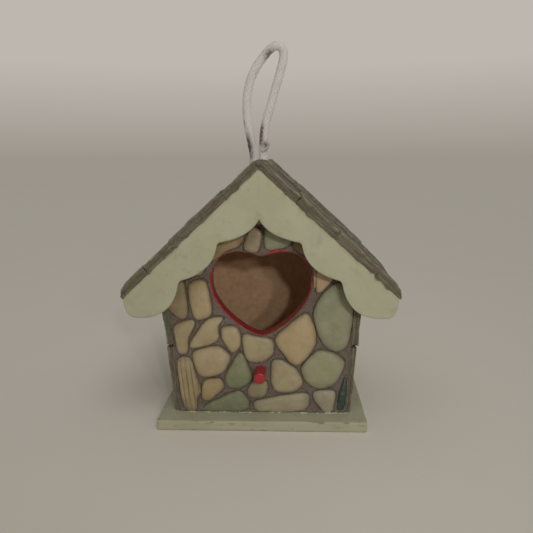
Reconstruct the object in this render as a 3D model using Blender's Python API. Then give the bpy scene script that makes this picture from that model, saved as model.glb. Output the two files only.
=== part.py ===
"""Hanging birdhouse: a plywood box faced with pebbles, with a heart-shaped door and a stone roof.

Frame: +X is right, the front faces -Y, +Z is up, and the origin lies under the middle of the base.
Sizes are in millimetres throughout and turn to metres where a mesh or a curve is made.
Pieces that touch keep GAP between them. The cord loop swings about the X line at LOOP_PIVOT_Z.
"""
import math

import bmesh
import bpy
from mathutils import Vector

MM = 0.001
GAP = 0.3

# Base board
BASE_WIDTH = 110.0
BASE_DEPTH = 100.0
BASE_THICK = 5.5
BASE_CORNER = 2.5
BASE_EDGE = 0.6

# House box, whose sides lean outwards as they rise
BOARD = 5.0
FOOT_Z = BASE_THICK + GAP
FOOT_HALF = 44.0
FLARE = 0.07
FRONT_BOARD_Y = -35.1
BACK_BOARD_Y = 33.0
SIDE_Y = (FRONT_BOARD_Y + BOARD + GAP, BACK_BOARD_Y - GAP)

# Stone front: mortar bed and the pebbles set in it
MORTAR_FRONT_Y = -38.0
MORTAR_BACK_Y = FRONT_BOARD_Y - GAP
STONE_SEAT_Y = -36.5
STONE_EDGE_Y = -38.8
STONE_INSET = 0.15
SEAT_CUT = 1.0
CROWN_EASE = 0.3
DOME_SHARES = (0.0, 0.02, 0.12, 0.3)

# Roof: SLOPE runs down from the ridge line, and RIDGE_Z is the top face of the roof boards there
SLOPE = math.radians(42.7)
RIDGE_Z = 135.2
BOARD_RUN = 92.0
ROOF_Y = (-48.0, 53.0)
FASCIA_Y = (-52.8, -48.3)
TILE_Y = (-54.0, 54.0)
FASCIA_EDGE = 0.5
RIDGE_JOINT = 0.15
RIDGE_MORTAR_RISE = 3.6
RIDGE_MORTAR_Y = 53.4
RIDGE_MORTAR_TO_HOLE = 0.6

# Edges of flat stones: how far their rims are eased and how much thickness is left there, and their grooves
COURSE_EASE = (1.2, 0.85)
SLAB_EASE = (1.5, 0.8)
EAVE_THINNING = ((6.5, 1.0), (2.8, 0.75), (0.0, 0.25))
STONE_CHAMFER = 0.9
GROOVE_HALF = 0.5
GROOVE_FLOOR = GAP + 1.8

# Cord and its hole through the ridge
CORD_RADIUS = 2.5
LEG_X = (-5.35, 0.0)
HOLE_X = sum(LEG_X) / 2
HOLE_HALF = (6.1, 3.5)
HOLE_CUTTER_Z = (100.0, 150.0)
LOOP_PIVOT_Z = 141.5
KNOT_Z = 118.0
KNOT_RADIUS = 6.3

# Perch
PERCH_X = -0.8
PERCH_Z = 28.8
PERCH_RADIUS = 3.0
PERCH_Y = (-49.4, -29.0)
PERCH_EDGE = 0.4
FRONT_CUTTER_Y = (-45.0, -20.0)

# Right half of the heart from the cleft to the tip; the left half mirrors it
HEART_HALF = [(0, 90.8), (6, 92.3), (13, 93), (20, 90.8), (24.5, 85.2), (26, 78.5), (25, 71),
              (21, 63.6), (15.4, 57.2), (9, 52.2), (4, 49.4), (0, 48.4)]

# Right half of the fascia's wavy lower edge: each arc is (start, control, end)
WAVE = [((0, 111), (4.5, 102.3), (19.5, 99.8)), ((20.6, 98.6), (22.3, 85.3), (39, 81)),
        ((40.2, 79.5), (43, 61.5), (61, 62)), ((61.5, 62), (67.8, 62), (67.7, 72.7))]

# Front pebbles: name, stone, how far it stands proud of the mortar, and its corners before rounding
PEBBLES = [
    ("ochre_upper_left", "ochre", 2.0, [(-28.8, 86), (-25.5, 97), (-17, 103.5), (-7.4, 103),
                                        (-10.8, 95.9), (-17.5, 93.8), (-23.2, 89.4)]),
    ("cream_cleft", "cream", 2.4, [(-4, 106), (1, 104), (-1, 92.7), (-5, 92.7), (-9, 94.7), (-7.5, 100)]),
    ("green_cleft", "green", 1.8, [(2.6, 108), (9, 107.5), (17.2, 99.5), (12, 95), (1.6, 93.6)]),
    ("ochre_upper_right", "ochre", 2.0, [(15.8, 96.5), (19.5, 101), (26, 97), (24.5, 90.5), (19, 93)]),
    ("tan_left_eave", "tan", 1.8, [(-42, 81), (-37.5, 89), (-30.4, 91), (-28.8, 85), (-31, 80.6)]),
    ("cream_triangle", "cream", 2.0, [(28, 71.5), (29, 87), (36, 86), (39.2, 82), (31, 72.2)]),
    ("green_large", "green", 2.8, [(26.4, 60), (30.4, 70), (38.8, 77.6), (45.8, 73), (47.2, 58),
                                   (44.8, 42.5), (39, 39.7), (31.8, 43.5)]),
    ("tan_left_shoulder", "tan", 2.2, [(-47.6, 76), (-40, 80), (-38.2, 58.2), (-43, 57), (-47.6, 62)]),
    ("cream_left_block", "cream", 2.6, [(-38.4, 77), (-28.2, 79.5), (-25.2, 58.6), (-34.2, 56.6),
                                        (-36.6, 62)]),
    ("tan_left_wedge", "tan", 2.2, [(-46.8, 54.4), (-36, 57.2), (-34.9, 54.6), (-38.8, 47.4), (-39.5, 38.2),
                                    (-44.4, 38.2), (-45.3, 45)]),
    ("cream_slant", "cream", 2.2, [(-28.4, 58), (-19.2, 58.6), (-23, 54), (-22.6, 45), (-38.3, 40.8),
                                   (-37.6, 45)]),
    ("cream_small_round", "cream", 2.4, [(-21.4, 53), (-12, 53.6), (-10.8, 42.5), (-15.8, 38.2),
                                         (-21.1, 47)]),
    ("cream_large_left", "cream", 2.9, [(-37.2, 39.5), (-22.5, 43.2), (-15.8, 36.6), (-20.9, 27),
                                        (-33.3, 24.6), (-36.2, 33)]),
    ("cream_below_heart", "cream", 2.2, [(-10, 49.4), (-4, 48.2), (6, 46.6), (6.2, 38), (0, 33.6),
                                         (-7.5, 33.6), (-9.8, 41.5)]),
    ("tan_diamond", "tan", 3.0, [(5.5, 46.6), (15.5, 55.4), (22.6, 61), (25.6, 59), (29.4, 44.5),
                                 (19.5, 31.6), (15, 33.4)]),
    ("green_pointed", "green", 2.2, [(-11.6, 40), (-8.6, 35.5), (-4.6, 24), (-11.5, 18.8), (-18.4, 19),
                                     (-20.2, 25)]),
    ("tan_ridged", "ridged", 2.4, [(-45.4, 35.8), (-37.8, 36.3), (-35.7, 26), (-32.4, 16.4), (-35.6, 13.5),
                                   (-35.4, 6.9), (-42.2, 6.9), (-44, 18.5)]),
    ("tan_small_left", "tan", 2.2, [(-31.4, 23.8), (-22.4, 24.6), (-19.8, 19.4), (-28.2, 12),
                                    (-32.8, 12.4)]),
    ("green_foot_left", "green", 2.0, [(-34.4, 7), (-27.4, 10.8), (-12.2, 18.4), (-7, 12), (-7.3, 6.9)]),
    ("tan_below_perch", "tan", 1.8, [(-8, 17), (-5, 23.6), (3.2, 23.2), (1.8, 14), (-6.2, 13.6)]),
    ("tan_by_perch", "tan", 2.4, [(4.6, 34.4), (10.6, 35.2), (18.2, 30), (22.4, 21.5), (16, 16.7),
                                  (5.4, 17.3)]),
    ("green_round_right", "green", 2.6, [(20.3, 30.4), (28.6, 40.9), (38.5, 39.4), (44.6, 34), (39.2, 22),
                                         (30, 18.4), (23.2, 23)]),
    ("tan_foot_long", "tan", 2.0, [(-4.4, 12), (20, 16.4), (25.6, 15.2), (24.6, 6.9), (-4.4, 6.9)]),
    ("cream_foot_right", "cream", 2.0, [(27, 17.6), (39.8, 18.6), (37.4, 6.9), (33.5, 6.9), (27.8, 12)]),
    ("slate_corner", "slate", 1.4, [(44.5, 26.5), (43.6, 7), (40.2, 7), (41.3, 14), (43, 22)]),
    ("green_gable_left", "green", 1.8, [(-21, 106.5), (-12.5, 114), (-6, 113), (-6.5, 105.5), (-14, 105.8)]),
    ("tan_gable_top", "tan", 1.8, [(-4.8, 108), (-4.5, 117), (1.5, 120), (6.5, 112), (1.5, 107)]),
    ("tan_right_eave", "tan", 1.8, [(27.6, 92), (28.4, 98), (33, 95), (40, 88.8), (37, 87.4), (29.4, 88.8)]),
]

# Side slabs: their ends in depth, then each row's bottom, top, two thicknesses and where its slabs meet
SLAB_ENDS = (-39.0, 37.8)
SLAB_ROWS = {"lower": (6.4, 41.6, (3.6, 4.0), (5.0,)), "upper": (43.6, 75.5, (4.2, 4.4), (-8.0,))}

# Roof stones: where each course starts and stops down the slope, its three thicknesses and its two breaks
COURSES = {
    "left": {"ridge": (RIDGE_JOINT, 20.6, (4.3, 4.4, 4.6), (-19.0, 16.0)),
             "upper": (21.2, 55.4, (4.8, 4.5, 4.7), (-12.0, 22.0)),
             "lower": (56.0, 73.7, (4.2, 4.6, 4.4), (-23.0, 11.0)),
             "eave": (74.3, 92.8, (4.8, 4.4, 4.6), (-15.0, 20.0))},
    "right": {"ridge": (RIDGE_JOINT, 23.6, (4.1, 5.1, 5.4), (-16.0, 20.0)),
              "upper": (24.2, 48.4, (4.3, 4.8, 5.8), (-22.0, 13.0)),
              "lower": (49.0, 75.7, (4.5, 5.0, 5.5), (-13.0, 24.0)),
              "eave": (76.3, 92.8, (4.2, 4.8, 4.4), (-21.0, 15.0))},
}

# Hanging loop, seen from the front: up the left leg, over the crown and down the right leg
LOOP_ROUTE = [(-5.35, 141.5), (-6.3, 147), (-7.5, 153.5), (-8.5, 160), (-8.9, 166.5), (-8.6, 173),
              (-7.6, 178.5), (-5.9, 183.5), (-3.2, 188.5), (0.2, 193), (3.8, 197), (7.6, 199),
              (10.8, 197.3), (11.4, 193), (10.1, 187.5), (8.3, 181.5), (6.5, 175.5), (4.7, 169.5),
              (2.9, 163.8), (1.3, 158), (0.4, 152.5), (0.05, 147), (0.0, 141.5)]

# Colour as sRGB hex, and roughness
FINISHES = {
    "painted_board": ("C3C2A2", 0.55),
    "red_paint": ("B02A2C", 0.45),
    "mortar": ("776B60", 0.95),
    "cream": ("C9B68D", 0.5),
    "tan": ("C2A97C", 0.5),
    "ochre": ("A5854F", 0.5),
    "green": ("A5A57F", 0.5),
    "ridged": ("BBA377", 0.6),
    "slate": ("3D5049", 0.6),
    "roof_stone": ("6E6852", 0.75),
    "cord": ("D6CCC0", 0.9),
}


def linear_colour(code):
    """Linear RGBA from an sRGB hex code."""
    channels = [int(code[i:i + 2], 16) / 255 for i in (0, 2, 4)]
    return [c / 12.92 if c <= 0.04045 else ((c + 0.055) / 1.055) ** 2.4 for c in channels] + [1.0]


def finish(name):
    """The named material, made on first use."""
    material = bpy.data.materials.get(name)
    if material is None:
        code, roughness = FINISHES[name]
        material = bpy.data.materials.new(name)
        material.use_nodes = True
        shader = material.node_tree.nodes["Principled BSDF"]
        shader.inputs["Base Color"].default_value = linear_colour(code)
        shader.inputs["Roughness"].default_value = roughness
        shader.inputs["Metallic"].default_value = 0.0
    return material


def add_object(name, data, finish_name):
    """Link an object that holds the mesh or curve."""
    obj = bpy.data.objects.new(name, data)
    if finish_name:
        data.materials.append(finish(finish_name))
    bpy.context.collection.objects.link(obj)
    return obj


def loft(name, rings, finish_name):
    """Closed solid through rings of equally many (x, y, z) points, capped at both ends."""
    bm = bmesh.new()
    loops = [[bm.verts.new(Vector(p) * MM) for p in ring] for ring in rings]
    for low, high in zip(loops, loops[1:]):
        for i in range(len(low)):
            j = (i + 1) % len(low)
            bm.faces.new((low[i], low[j], high[j], high[i]))
    bm.faces.new(loops[0])
    bm.faces.new(loops[-1])
    bmesh.ops.recalc_face_normals(bm, faces=bm.faces)
    mesh = bpy.data.meshes.new(name)
    bm.to_mesh(mesh)
    bm.free()
    return add_object(name, mesh, finish_name)


def plate(name, outline, y_front, y_back, finish_name):
    """A sheet cut to an (x, z) outline, standing upright between two depths."""
    return loft(name, [[(x, y, z) for x, z in outline] for y in (y_front, y_back)], finish_name)


def bevel_edges(obj, width, angle=40.0):
    """Ease the sharp edges of a piece."""
    bevel = obj.modifiers.new("eased_edges", "BEVEL")
    bevel.width = width * MM
    bevel.segments = 2
    bevel.limit_method = "ANGLE"
    bevel.angle_limit = math.radians(angle)


def cut(obj, cutter):
    """Subtract a cutter, which stays in the scene as a hidden guide."""
    cutter.hide_render = True
    cutter.display_type = "WIRE"
    boolean = obj.modifiers.new("cut_" + cutter.name, "BOOLEAN")
    boolean.operation = "DIFFERENCE"
    boolean.object = cutter


def quadratic(start, control, end, t):
    """Point at t on the quadratic curve from start to end."""
    return tuple((1 - t) ** 2 * a + 2 * t * (1 - t) * b + t * t * c for a, b, c in zip(start, control, end))


def mix(a, b, share):
    """Point a given share of the way from a to b."""
    return tuple(p + (q - p) * share for p, q in zip(a, b))


def round_corners(corners, share=0.32):
    """Replace each corner of a closed outline by a short curve."""
    outline = []
    for before, corner, after in zip(corners[-1:] + corners[:-1], corners, corners[1:] + corners[:1]):
        start = mix(corner, before, share)
        end = mix(corner, after, share)
        outline += [quadratic(start, corner, end, t) for t in (0.0, 0.5, 1.0)]
    return outline


def smooth_path(points, steps, closed=False):
    """Catmull-Rom curve through the points, with the given steps between neighbours."""
    count = len(points)
    spans = count if closed else count - 1
    path = []
    for i in range(spans):
        if closed:
            p = [Vector(points[(i + k) % count]) for k in (-1, 0, 1, 2)]
        else:
            p = [Vector(points[min(max(i + k, 0), count - 1)]) for k in (-1, 0, 1, 2)]
        for step in range(steps):
            t = step / steps
            path.append(0.5 * (2 * p[1] + (p[2] - p[0]) * t + (2 * p[0] - 5 * p[1] + 4 * p[2] - p[3]) * t * t
                               + (3 * p[1] - p[0] - 3 * p[2] + p[3]) * t ** 3))
    return path if closed else path + [Vector(points[-1])]


def ellipse(x, y, half_x, half_y, count=32):
    """Points around an upright ellipse in plan."""
    turns = [2 * math.pi * i / count for i in range(count)]
    return [(x + half_x * math.cos(a), y + half_y * math.sin(a)) for a in turns]


def half_width(z):
    """Half the width of the house box at a height."""
    return FOOT_HALF + FLARE * (z - FOOT_Z)


def roof_underside(x):
    """Height under the roof boards, less the gap, at a distance from the middle."""
    return RIDGE_Z - (BOARD + GAP) / math.cos(SLOPE) - math.tan(SLOPE) * abs(x)


def side_meets_roof(inset):
    """Where a line inside the leaning side by inset reaches the underside of the roof."""
    ridge = roof_underside(0.0)
    z = (ridge - math.tan(SLOPE) * (FOOT_HALF - inset - FLARE * FOOT_Z)) / (1 + math.tan(SLOPE) * FLARE)
    return half_width(z) - inset, z


def on_roof(side, run, rise):
    """Point (x, z) a run down the slope from the ridge and a rise out of the roof boards' top face."""
    x = run * math.cos(SLOPE) + rise * math.sin(SLOPE)
    z = RIDGE_Z - run * math.sin(SLOPE) + rise * math.cos(SLOPE)
    return side * x, z


def gable_outline():
    """Outline of the front and back boards: a leaning box under the roof."""
    shoulder_x, shoulder_z = side_meets_roof(0.0)
    foot = half_width(FOOT_Z)
    ridge = roof_underside(0.0)
    return [(-foot, FOOT_Z), (foot, FOOT_Z), (shoulder_x, shoulder_z), (0, ridge), (-shoulder_x, shoulder_z)]


def heart_outline():
    """Closed smooth heart."""
    mirrored = [(-x, z) for x, z in reversed(HEART_HALF[1:-1])]
    return [tuple(p) for p in smooth_path(HEART_HALF + mirrored, 2, closed=True)]


def fascia_outline():
    """Gable board with straight top edges and a wavy lower edge."""
    right = []
    for start, control, end in WAVE:
        right += [quadratic(start, control, end, step / 6) for step in range(7)]
    left = [(-x, z) for x, z in reversed(right[1:])]
    return right + [(0, RIDGE_Z)] + left


def comb_section(ends, breaks, thicknesses, share):
    """Section (position, rise) across neighbouring slabs with grooves between them.

    share scales the thickness, so that the slabs can thin out towards an edge.
    """
    starts = (ends[0],) + breaks
    stops = breaks + (ends[1],)
    section = [(ends[0], GAP), (ends[1], GAP)]
    for start, stop, thick in reversed(list(zip(starts, stops, thicknesses))):
        high = stop if stop == ends[1] else stop - GROOVE_HALF
        low = start if start == ends[0] else start + GROOVE_HALF
        rim = thick - STONE_CHAMFER
        section += [(high, rim), (high - STONE_CHAMFER, thick), (low + STONE_CHAMFER, thick), (low, rim)]
        if start != ends[0]:
            section += [(start + GROOVE_HALF, GROOVE_FLOOR), (start - GROOVE_HALF, GROOVE_FLOOR)]
    return [(position, GAP + (rise - GAP) * share) for position, rise in section]


def bore(name, x, z, radius, y_front, y_back):
    """Round cutter along Y."""
    return plate(name, ellipse(x, z, radius, radius), y_front, y_back, None)


def cord_tube(name, points):
    """A round cord along the points."""
    curve = bpy.data.curves.new(name, "CURVE")
    curve.dimensions = "3D"
    curve.bevel_depth = CORD_RADIUS * MM
    curve.bevel_resolution = 2
    curve.use_fill_caps = True
    spline = curve.splines.new("POLY")
    spline.points.add(len(points) - 1)
    for target, point in zip(spline.points, points):
        target.co = (*(Vector(point) * MM), 1.0)
    return add_object(name, curve, "cord")


def make_base():
    """Flat board that the house stands on, with its corners rounded."""
    rings = []
    for z in (0.0, BASE_THICK):
        ring = []
        for quarter, (sx, sy) in enumerate(((1, 1), (-1, 1), (-1, -1), (1, -1))):
            for step in range(4):
                angle = math.radians(90 * quarter + 30 * step)
                x = sx * (BASE_WIDTH / 2 - BASE_CORNER) + BASE_CORNER * math.cos(angle)
                y = sy * (BASE_DEPTH / 2 - BASE_CORNER) + BASE_CORNER * math.sin(angle)
                ring.append((x, y, z))
        rings.append(ring)
    bevel_edges(loft("base_board", rings, "painted_board"), BASE_EDGE, 60.0)


def make_box():
    """Front and back boards, the two leaning side boards, and the door and perch holes."""
    front = plate("front_wall", gable_outline(), FRONT_BOARD_Y, FRONT_BOARD_Y + BOARD, "painted_board")
    plate("back_wall", gable_outline(), BACK_BOARD_Y, BACK_BOARD_Y + BOARD, "painted_board")
    outer_x, outer_z = side_meets_roof(0.0)
    inner_x, inner_z = side_meets_roof(BOARD)
    foot = half_width(FOOT_Z)
    for name, side in (("left_wall", -1), ("right_wall", 1)):
        section = [(foot, FOOT_Z), (outer_x, outer_z), (inner_x, inner_z), (foot - BOARD, FOOT_Z)]
        plate(name, [(side * x, z) for x, z in section], SIDE_Y[0], SIDE_Y[1], "painted_board")
    return front


def make_mortar():
    """Mortar bed over the front board, cut to the same outline."""
    return plate("front_mortar", gable_outline(), MORTAR_FRONT_Y, MORTAR_BACK_Y, "mortar")


def grown(outline, distance):
    """The outline moved outwards by a distance, or inwards where it is negative."""
    points = [Vector(p) for p in outline]
    pairs = list(zip(points, points[1:] + points[:1]))
    turn = math.copysign(1.0, sum(a.x * b.y - b.x * a.y for a, b in pairs))
    result = []
    for before, point, after in zip(points[-1:] + points[:-1], points, points[1:] + points[:1]):
        along = (after - before).normalized()
        result.append((point.x + turn * along.y * distance, point.y - turn * along.x * distance))
    return result


def pebble(name, stone, proud, corners):
    """One domed front stone and the cutter for its seat in the mortar."""
    outline = grown(round_corners(corners), -STONE_INSET)
    middle = tuple(sum(values) / len(outline) for values in zip(*outline))
    crown_y = MORTAR_FRONT_Y - proud
    layers = zip((STONE_SEAT_Y, STONE_EDGE_Y, crown_y + CROWN_EASE, crown_y), DOME_SHARES)
    rings = [[(x, y, z) for x, z in (mix(p, middle, share) for p in outline)] for y, share in layers]
    loft("pebble_" + name, rings, stone)
    return plate("seat_" + name, grown(outline, GAP), MORTAR_FRONT_Y - SEAT_CUT, STONE_SEAT_Y + GAP, None)


def make_front(front_board):
    """Mortar, pebbles, the heart-shaped door and the perch."""
    mortar = make_mortar()
    for details in PEBBLES:
        cut(mortar, pebble(*details))
    door = plate("door_cutter", heart_outline(), *FRONT_CUTTER_Y, None)
    perch_hole = bore("perch_cutter", PERCH_X, PERCH_Z, PERCH_RADIUS + GAP, *FRONT_CUTTER_Y)
    for sheet in (front_board, mortar):
        cut(sheet, door)
        cut(sheet, perch_hole)
    dowel = bore("perch", PERCH_X, PERCH_Z, PERCH_RADIUS, *PERCH_Y)
    dowel.data.materials.append(finish("red_paint"))
    bevel_edges(dowel, PERCH_EDGE)


def make_side_slabs():
    """Two rows of flat stones glued to each side."""
    ease, rim = SLAB_EASE
    lean = math.hypot(1.0, FLARE)
    for side_name, side in (("left", -1), ("right", 1)):
        for row, (low, high, thicknesses, breaks) in SLAB_ROWS.items():
            rings = []
            for z, share in ((low, rim), (low + ease, 1.0), (high - ease, 1.0), (high, rim)):
                section = comb_section(SLAB_ENDS, breaks, thicknesses, share)
                rings.append([(side * (half_width(z) + rise * lean), y, z) for y, rise in section])
            loft("side_slabs_" + side_name + "_" + row, rings, "roof_stone")


def cord_hole_cutter():
    """Upright cutter for the cord hole through the ridge."""
    plan = ellipse(HOLE_X, 0.0, HOLE_HALF[0], HOLE_HALF[1])
    return loft("cord_hole_cutter", [[(x, y, z) for x, y in plan] for z in HOLE_CUTTER_Z], None)


def make_roof():
    """Two roof boards, the fascia, the stone courses and the mortar along the ridge."""
    hole = cord_hole_cutter()
    ease, rim = COURSE_EASE
    half_gap = GAP / 2
    drop = math.tan(SLOPE) * half_gap
    for name, side in (("left_roof_board", -1), ("right_roof_board", 1)):
        section = [(side * half_gap, RIDGE_Z - drop), on_roof(side, BOARD_RUN, 0.0),
                   on_roof(side, BOARD_RUN, -BOARD),
                   (side * half_gap, RIDGE_Z - drop - BOARD / math.cos(SLOPE))]
        cut(plate(name, section, ROOF_Y[0], ROOF_Y[1], "painted_board"), hole)
    bevel_edges(plate("front_fascia", fascia_outline(), FASCIA_Y[0], FASCIA_Y[1], "painted_board"),
                FASCIA_EDGE, 50.0)
    for side_name, side in (("left", -1), ("right", 1)):
        for course, (start, stop, thicknesses, breaks) in COURSES[side_name].items():
            shares = [(start, rim), (start + ease, 1.0), (stop - ease, 1.0), (stop, rim)]
            if course == "eave":
                shares = shares[:2] + [(stop - before, share) for before, share in EAVE_THINNING]
            rings = []
            for run, share in shares:
                section = comb_section(TILE_Y, breaks, thicknesses, share)
                points = [(y, on_roof(side, run, rise)) for y, rise in section]
                rings.append([(x, y, z) for y, (x, z) in points])
            stones = loft("roof_stones_" + side_name + "_" + course, rings, "roof_stone")
            if course == "ridge":
                cut(stones, hole)
    top_x, top_z = on_roof(1, RIDGE_JOINT - GAP, RIDGE_MORTAR_RISE)
    tip_z = top_z - top_x / math.tan(SLOPE)
    section = [(0, tip_z), (top_x, top_z), (-top_x, top_z)]
    hole_end = HOLE_HALF[1] + RIDGE_MORTAR_TO_HOLE
    plate("ridge_mortar_front", section, -RIDGE_MORTAR_Y, -hole_end, "mortar")
    plate("ridge_mortar_rear", section, hole_end, RIDGE_MORTAR_Y, "mortar")


def make_cord():
    """Swinging loop, the two legs in the hole, and the knot that holds them under the roof."""
    pivot = bpy.data.objects.new("loop_swing_axis", None)
    pivot.location = (HOLE_X * MM, 0.0, LOOP_PIVOT_Z * MM)
    bpy.context.collection.objects.link(pivot)
    route = smooth_path([(x - HOLE_X, 0.0, z - LOOP_PIVOT_Z) for x, z in LOOP_ROUTE], 2)
    loop = cord_tube("hanging_loop", route)
    loop.parent = pivot
    leg_top = LOOP_PIVOT_Z - CORD_RADIUS - GAP
    leg_foot = KNOT_Z + KNOT_RADIUS + GAP
    for name, x in (("cord_leg_left", LEG_X[0]), ("cord_leg_right", LEG_X[1])):
        cord_tube(name, [(x, 0.0, leg_foot), (x, 0.0, (leg_foot + leg_top) / 2), (x, 0.0, leg_top)])
    rings = []
    for step in range(1, 8):
        angle = math.pi * step / 8
        radius = KNOT_RADIUS * math.sin(angle)
        z = KNOT_Z - KNOT_RADIUS * math.cos(angle)
        rings.append([(x, y, z) for x, y in ellipse(HOLE_X, 0.0, radius, radius, 16)])
    loft("cord_knot", rings, "cord")


def main():
    """Clear the scene and build every piece."""
    for obj in list(bpy.data.objects):
        bpy.data.objects.remove(obj, do_unlink=True)
    make_base()
    front_board = make_box()
    make_front(front_board)
    make_side_slabs()
    make_roof()
    make_cord()


main()
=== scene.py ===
"""Stone-faced birdhouse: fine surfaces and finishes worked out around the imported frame.

Lengths are in millimetres in every function and turn to metres where a mesh is made. +X is right, the front
faces -Y, +Z is up. An outline is an array of complex numbers, and runs anticlockwise.
"""

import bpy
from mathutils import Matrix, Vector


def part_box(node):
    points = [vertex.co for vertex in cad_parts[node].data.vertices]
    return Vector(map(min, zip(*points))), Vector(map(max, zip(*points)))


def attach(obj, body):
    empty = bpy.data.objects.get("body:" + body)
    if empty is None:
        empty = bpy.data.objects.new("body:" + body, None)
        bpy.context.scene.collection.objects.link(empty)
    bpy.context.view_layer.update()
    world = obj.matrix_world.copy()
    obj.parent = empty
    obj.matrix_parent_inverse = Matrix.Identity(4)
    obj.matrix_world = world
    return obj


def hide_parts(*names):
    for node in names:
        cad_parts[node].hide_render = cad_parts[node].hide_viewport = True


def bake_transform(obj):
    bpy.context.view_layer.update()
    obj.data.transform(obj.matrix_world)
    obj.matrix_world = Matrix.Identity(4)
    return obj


bl_info = {
    "name": "Stone-Faced Birdhouse",
    "version": (1, 0, 0),
    "blender": (4, 5, 0),
    "location": "3D View > Sidebar > Birdhouse",
    "description": "Pebble front, split-stone roof, painted boards and cord loop of a small hanging birdhouse",
    "category": "Object",
}

import itertools
import math

import bpy
import numpy as np
from mathutils import Matrix, Vector

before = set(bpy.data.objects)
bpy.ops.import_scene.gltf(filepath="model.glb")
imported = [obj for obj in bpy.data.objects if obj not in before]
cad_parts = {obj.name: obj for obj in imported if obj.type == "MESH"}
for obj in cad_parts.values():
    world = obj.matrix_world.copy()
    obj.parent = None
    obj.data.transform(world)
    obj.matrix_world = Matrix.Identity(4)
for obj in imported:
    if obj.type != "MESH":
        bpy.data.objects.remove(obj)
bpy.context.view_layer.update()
MM = 0.001


def corners(node_name):
    """A CAD node's vertices in millimetres, one row each."""
    return np.array([v.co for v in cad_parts[node_name].data.vertices]) / MM


def edges_of(node_name):
    """Lowest and highest corner of a CAD node in millimetres."""
    low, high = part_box(node_name)
    return np.array(low) / MM, np.array(high) / MM


# The roof's top face runs down from the ridge line, and the side walls lean outwards from their foot
roof = corners("right_roof_board")
eave_end, ridge_end = roof[roof[:, 0].argmax()], roof[roof[:, 2].argmax()]
SLOPE = math.atan2(ridge_end[2] - eave_end[2], eave_end[0] - ridge_end[0])
RIDGE_Z = ridge_end[2] + math.tan(SLOPE) * ridge_end[0]
wall = corners("right_wall")
FOOT_Z = wall[:, 2].min()
FOOT_X = wall[wall[:, 2] < FOOT_Z + 0.1][:, 0].max()
SHOULDER = wall[wall[:, 0].argmax()]
FLARE = (SHOULDER[0] - FOOT_X) / (SHOULDER[2] - FOOT_Z)
LEAN = math.hypot(1.0, FLARE)
ROOF_FACE = (0.0, RIDGE_Z, math.cos(SLOPE), -math.sin(SLOPE), math.sin(SLOPE), math.cos(SLOPE))
SIDE_FACE = (FOOT_X, FOOT_Z, FLARE / LEAN, 1 / LEAN, 1 / LEAN, -FLARE / LEAN)

BASE_TOP = edges_of("base_board")[1][2]
MORTAR_FRONT = edges_of("front_mortar")[0][1]
MORTAR_BACK = edges_of("front_mortar")[1][1]
DOOR_BACK = edges_of("front_wall")[1][1]
FASCIA_FRONT = edges_of("front_fascia")[0][1]
BOARD_THICK = 5.0
STONE_GAP = 0.3

# Right half of the heart-shaped door from the cleft to the tip
HEART_HALF = [(0, 90.8), (6, 92.3), (13, 93), (20, 90.8), (24.5, 85.2), (26, 78.5), (25, 71),
              (21, 63.6), (15.4, 57.2), (9, 52.2), (4, 49.4), (0, 48.4)]
DOOR_MIDDLE = 72j

# Right half of the fascia's wavy lower edge: each arc is (start, control, end)
WAVE = [((0, 111), (4.5, 102.3), (19.5, 99.8)), ((20.6, 98.6), (22.3, 85.3), (39, 81)),
        ((40.2, 79.5), (43, 61.5), (61, 62)), ((61.5, 62), (67.8, 62), (67.7, 72.7))]

# Where the three stones of each roof course and the two stones of each side row meet, in depth
ROOF_ENDS = (-54.0, 54.0)
ROOF_BREAKS = {("left", "ridge"): (-19.0, 16.0), ("left", "upper"): (-12.0, 22.0), ("left", "lower"): (-23.0, 11.0),
               ("left", "eave"): (-15.0, 20.0), ("right", "ridge"): (-16.0, 20.0), ("right", "upper"): (-22.0, 13.0),
               ("right", "lower"): (-13.0, 24.0), ("right", "eave"): (-21.0, 15.0)}
SIDE_ENDS = (-39.0, 37.8)
SIDE_BREAKS = {"lower": 5.0, "upper": -8.0}
# How far a course's stones reach past its CAD node up and down the slope, and out over the eave
COURSE_OVERLAP = 0.75
EAVE_OVERLAP = 0.45
ROOF_WOBBLE, SIDE_WOBBLE = 0.32, 0.6

# Cord: left leg up from the knot, over the crown and down the right leg, seen from the front
LEG_X = (-5.35, 0.0)
CORD_RADIUS = 2.5
LEG_FOOT_Z = 124.6
LOOP_ROUTE = [(-5.35, 141.5), (-6.3, 147), (-7.5, 153.5), (-8.5, 160), (-8.9, 166.5), (-8.6, 173),
              (-7.6, 178.5), (-5.9, 183.5), (-3.2, 188.5), (0.2, 193), (3.8, 197), (7.6, 199),
              (10.8, 197.3), (11.4, 193), (10.1, 187.5), (8.3, 181.5), (6.5, 175.5), (4.7, 169.5),
              (2.9, 163.8), (1.3, 158), (0.4, 152.5), (0.05, 147), (0.0, 141.5)]

# A cut strand at the right leg's foot, and stains as (x, z) in the front view with their reach
STRAND_ROUTE = [(-0.6, -1.2, 143.4), (1.2, -2.2, 144.3), (2.9, -1.9, 146.2), (3.5, -1.4, 148.4)]
DARK_STAINS = [((-7.2, 143.5), (2.2, 5.0)), ((-8.6, 148.5), (1.3, 4.5)), ((-11.0, 158.5), (1.0, 1.4))]
BROWN_STAINS = [((1.4, 146.5), (1.5, 2.4)), ((-1.4, 150.0), (1.3, 4.0)), ((-0.6, 155.5), (1.1, 3.0)),
                ((4.2, 193.5), (2.8, 3.4))]

# Filler along the front's foot: name, from x, to x, seed and greatest radius
FILLERS = (("filler_foot_left", -43.5, -28.0, 71, 0.6), ("filler_foot_middle", -26.0, 12.0, 76, 0.35),
           ("filler_foot_right", 16.0, 45.5, 72, 0.6))

# Pebbles overhang their seats by this much, and their colours are dimmed by this factor
PEBBLE_OVERHANG = 0.55
PEBBLE_TONE = 0.8

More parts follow.
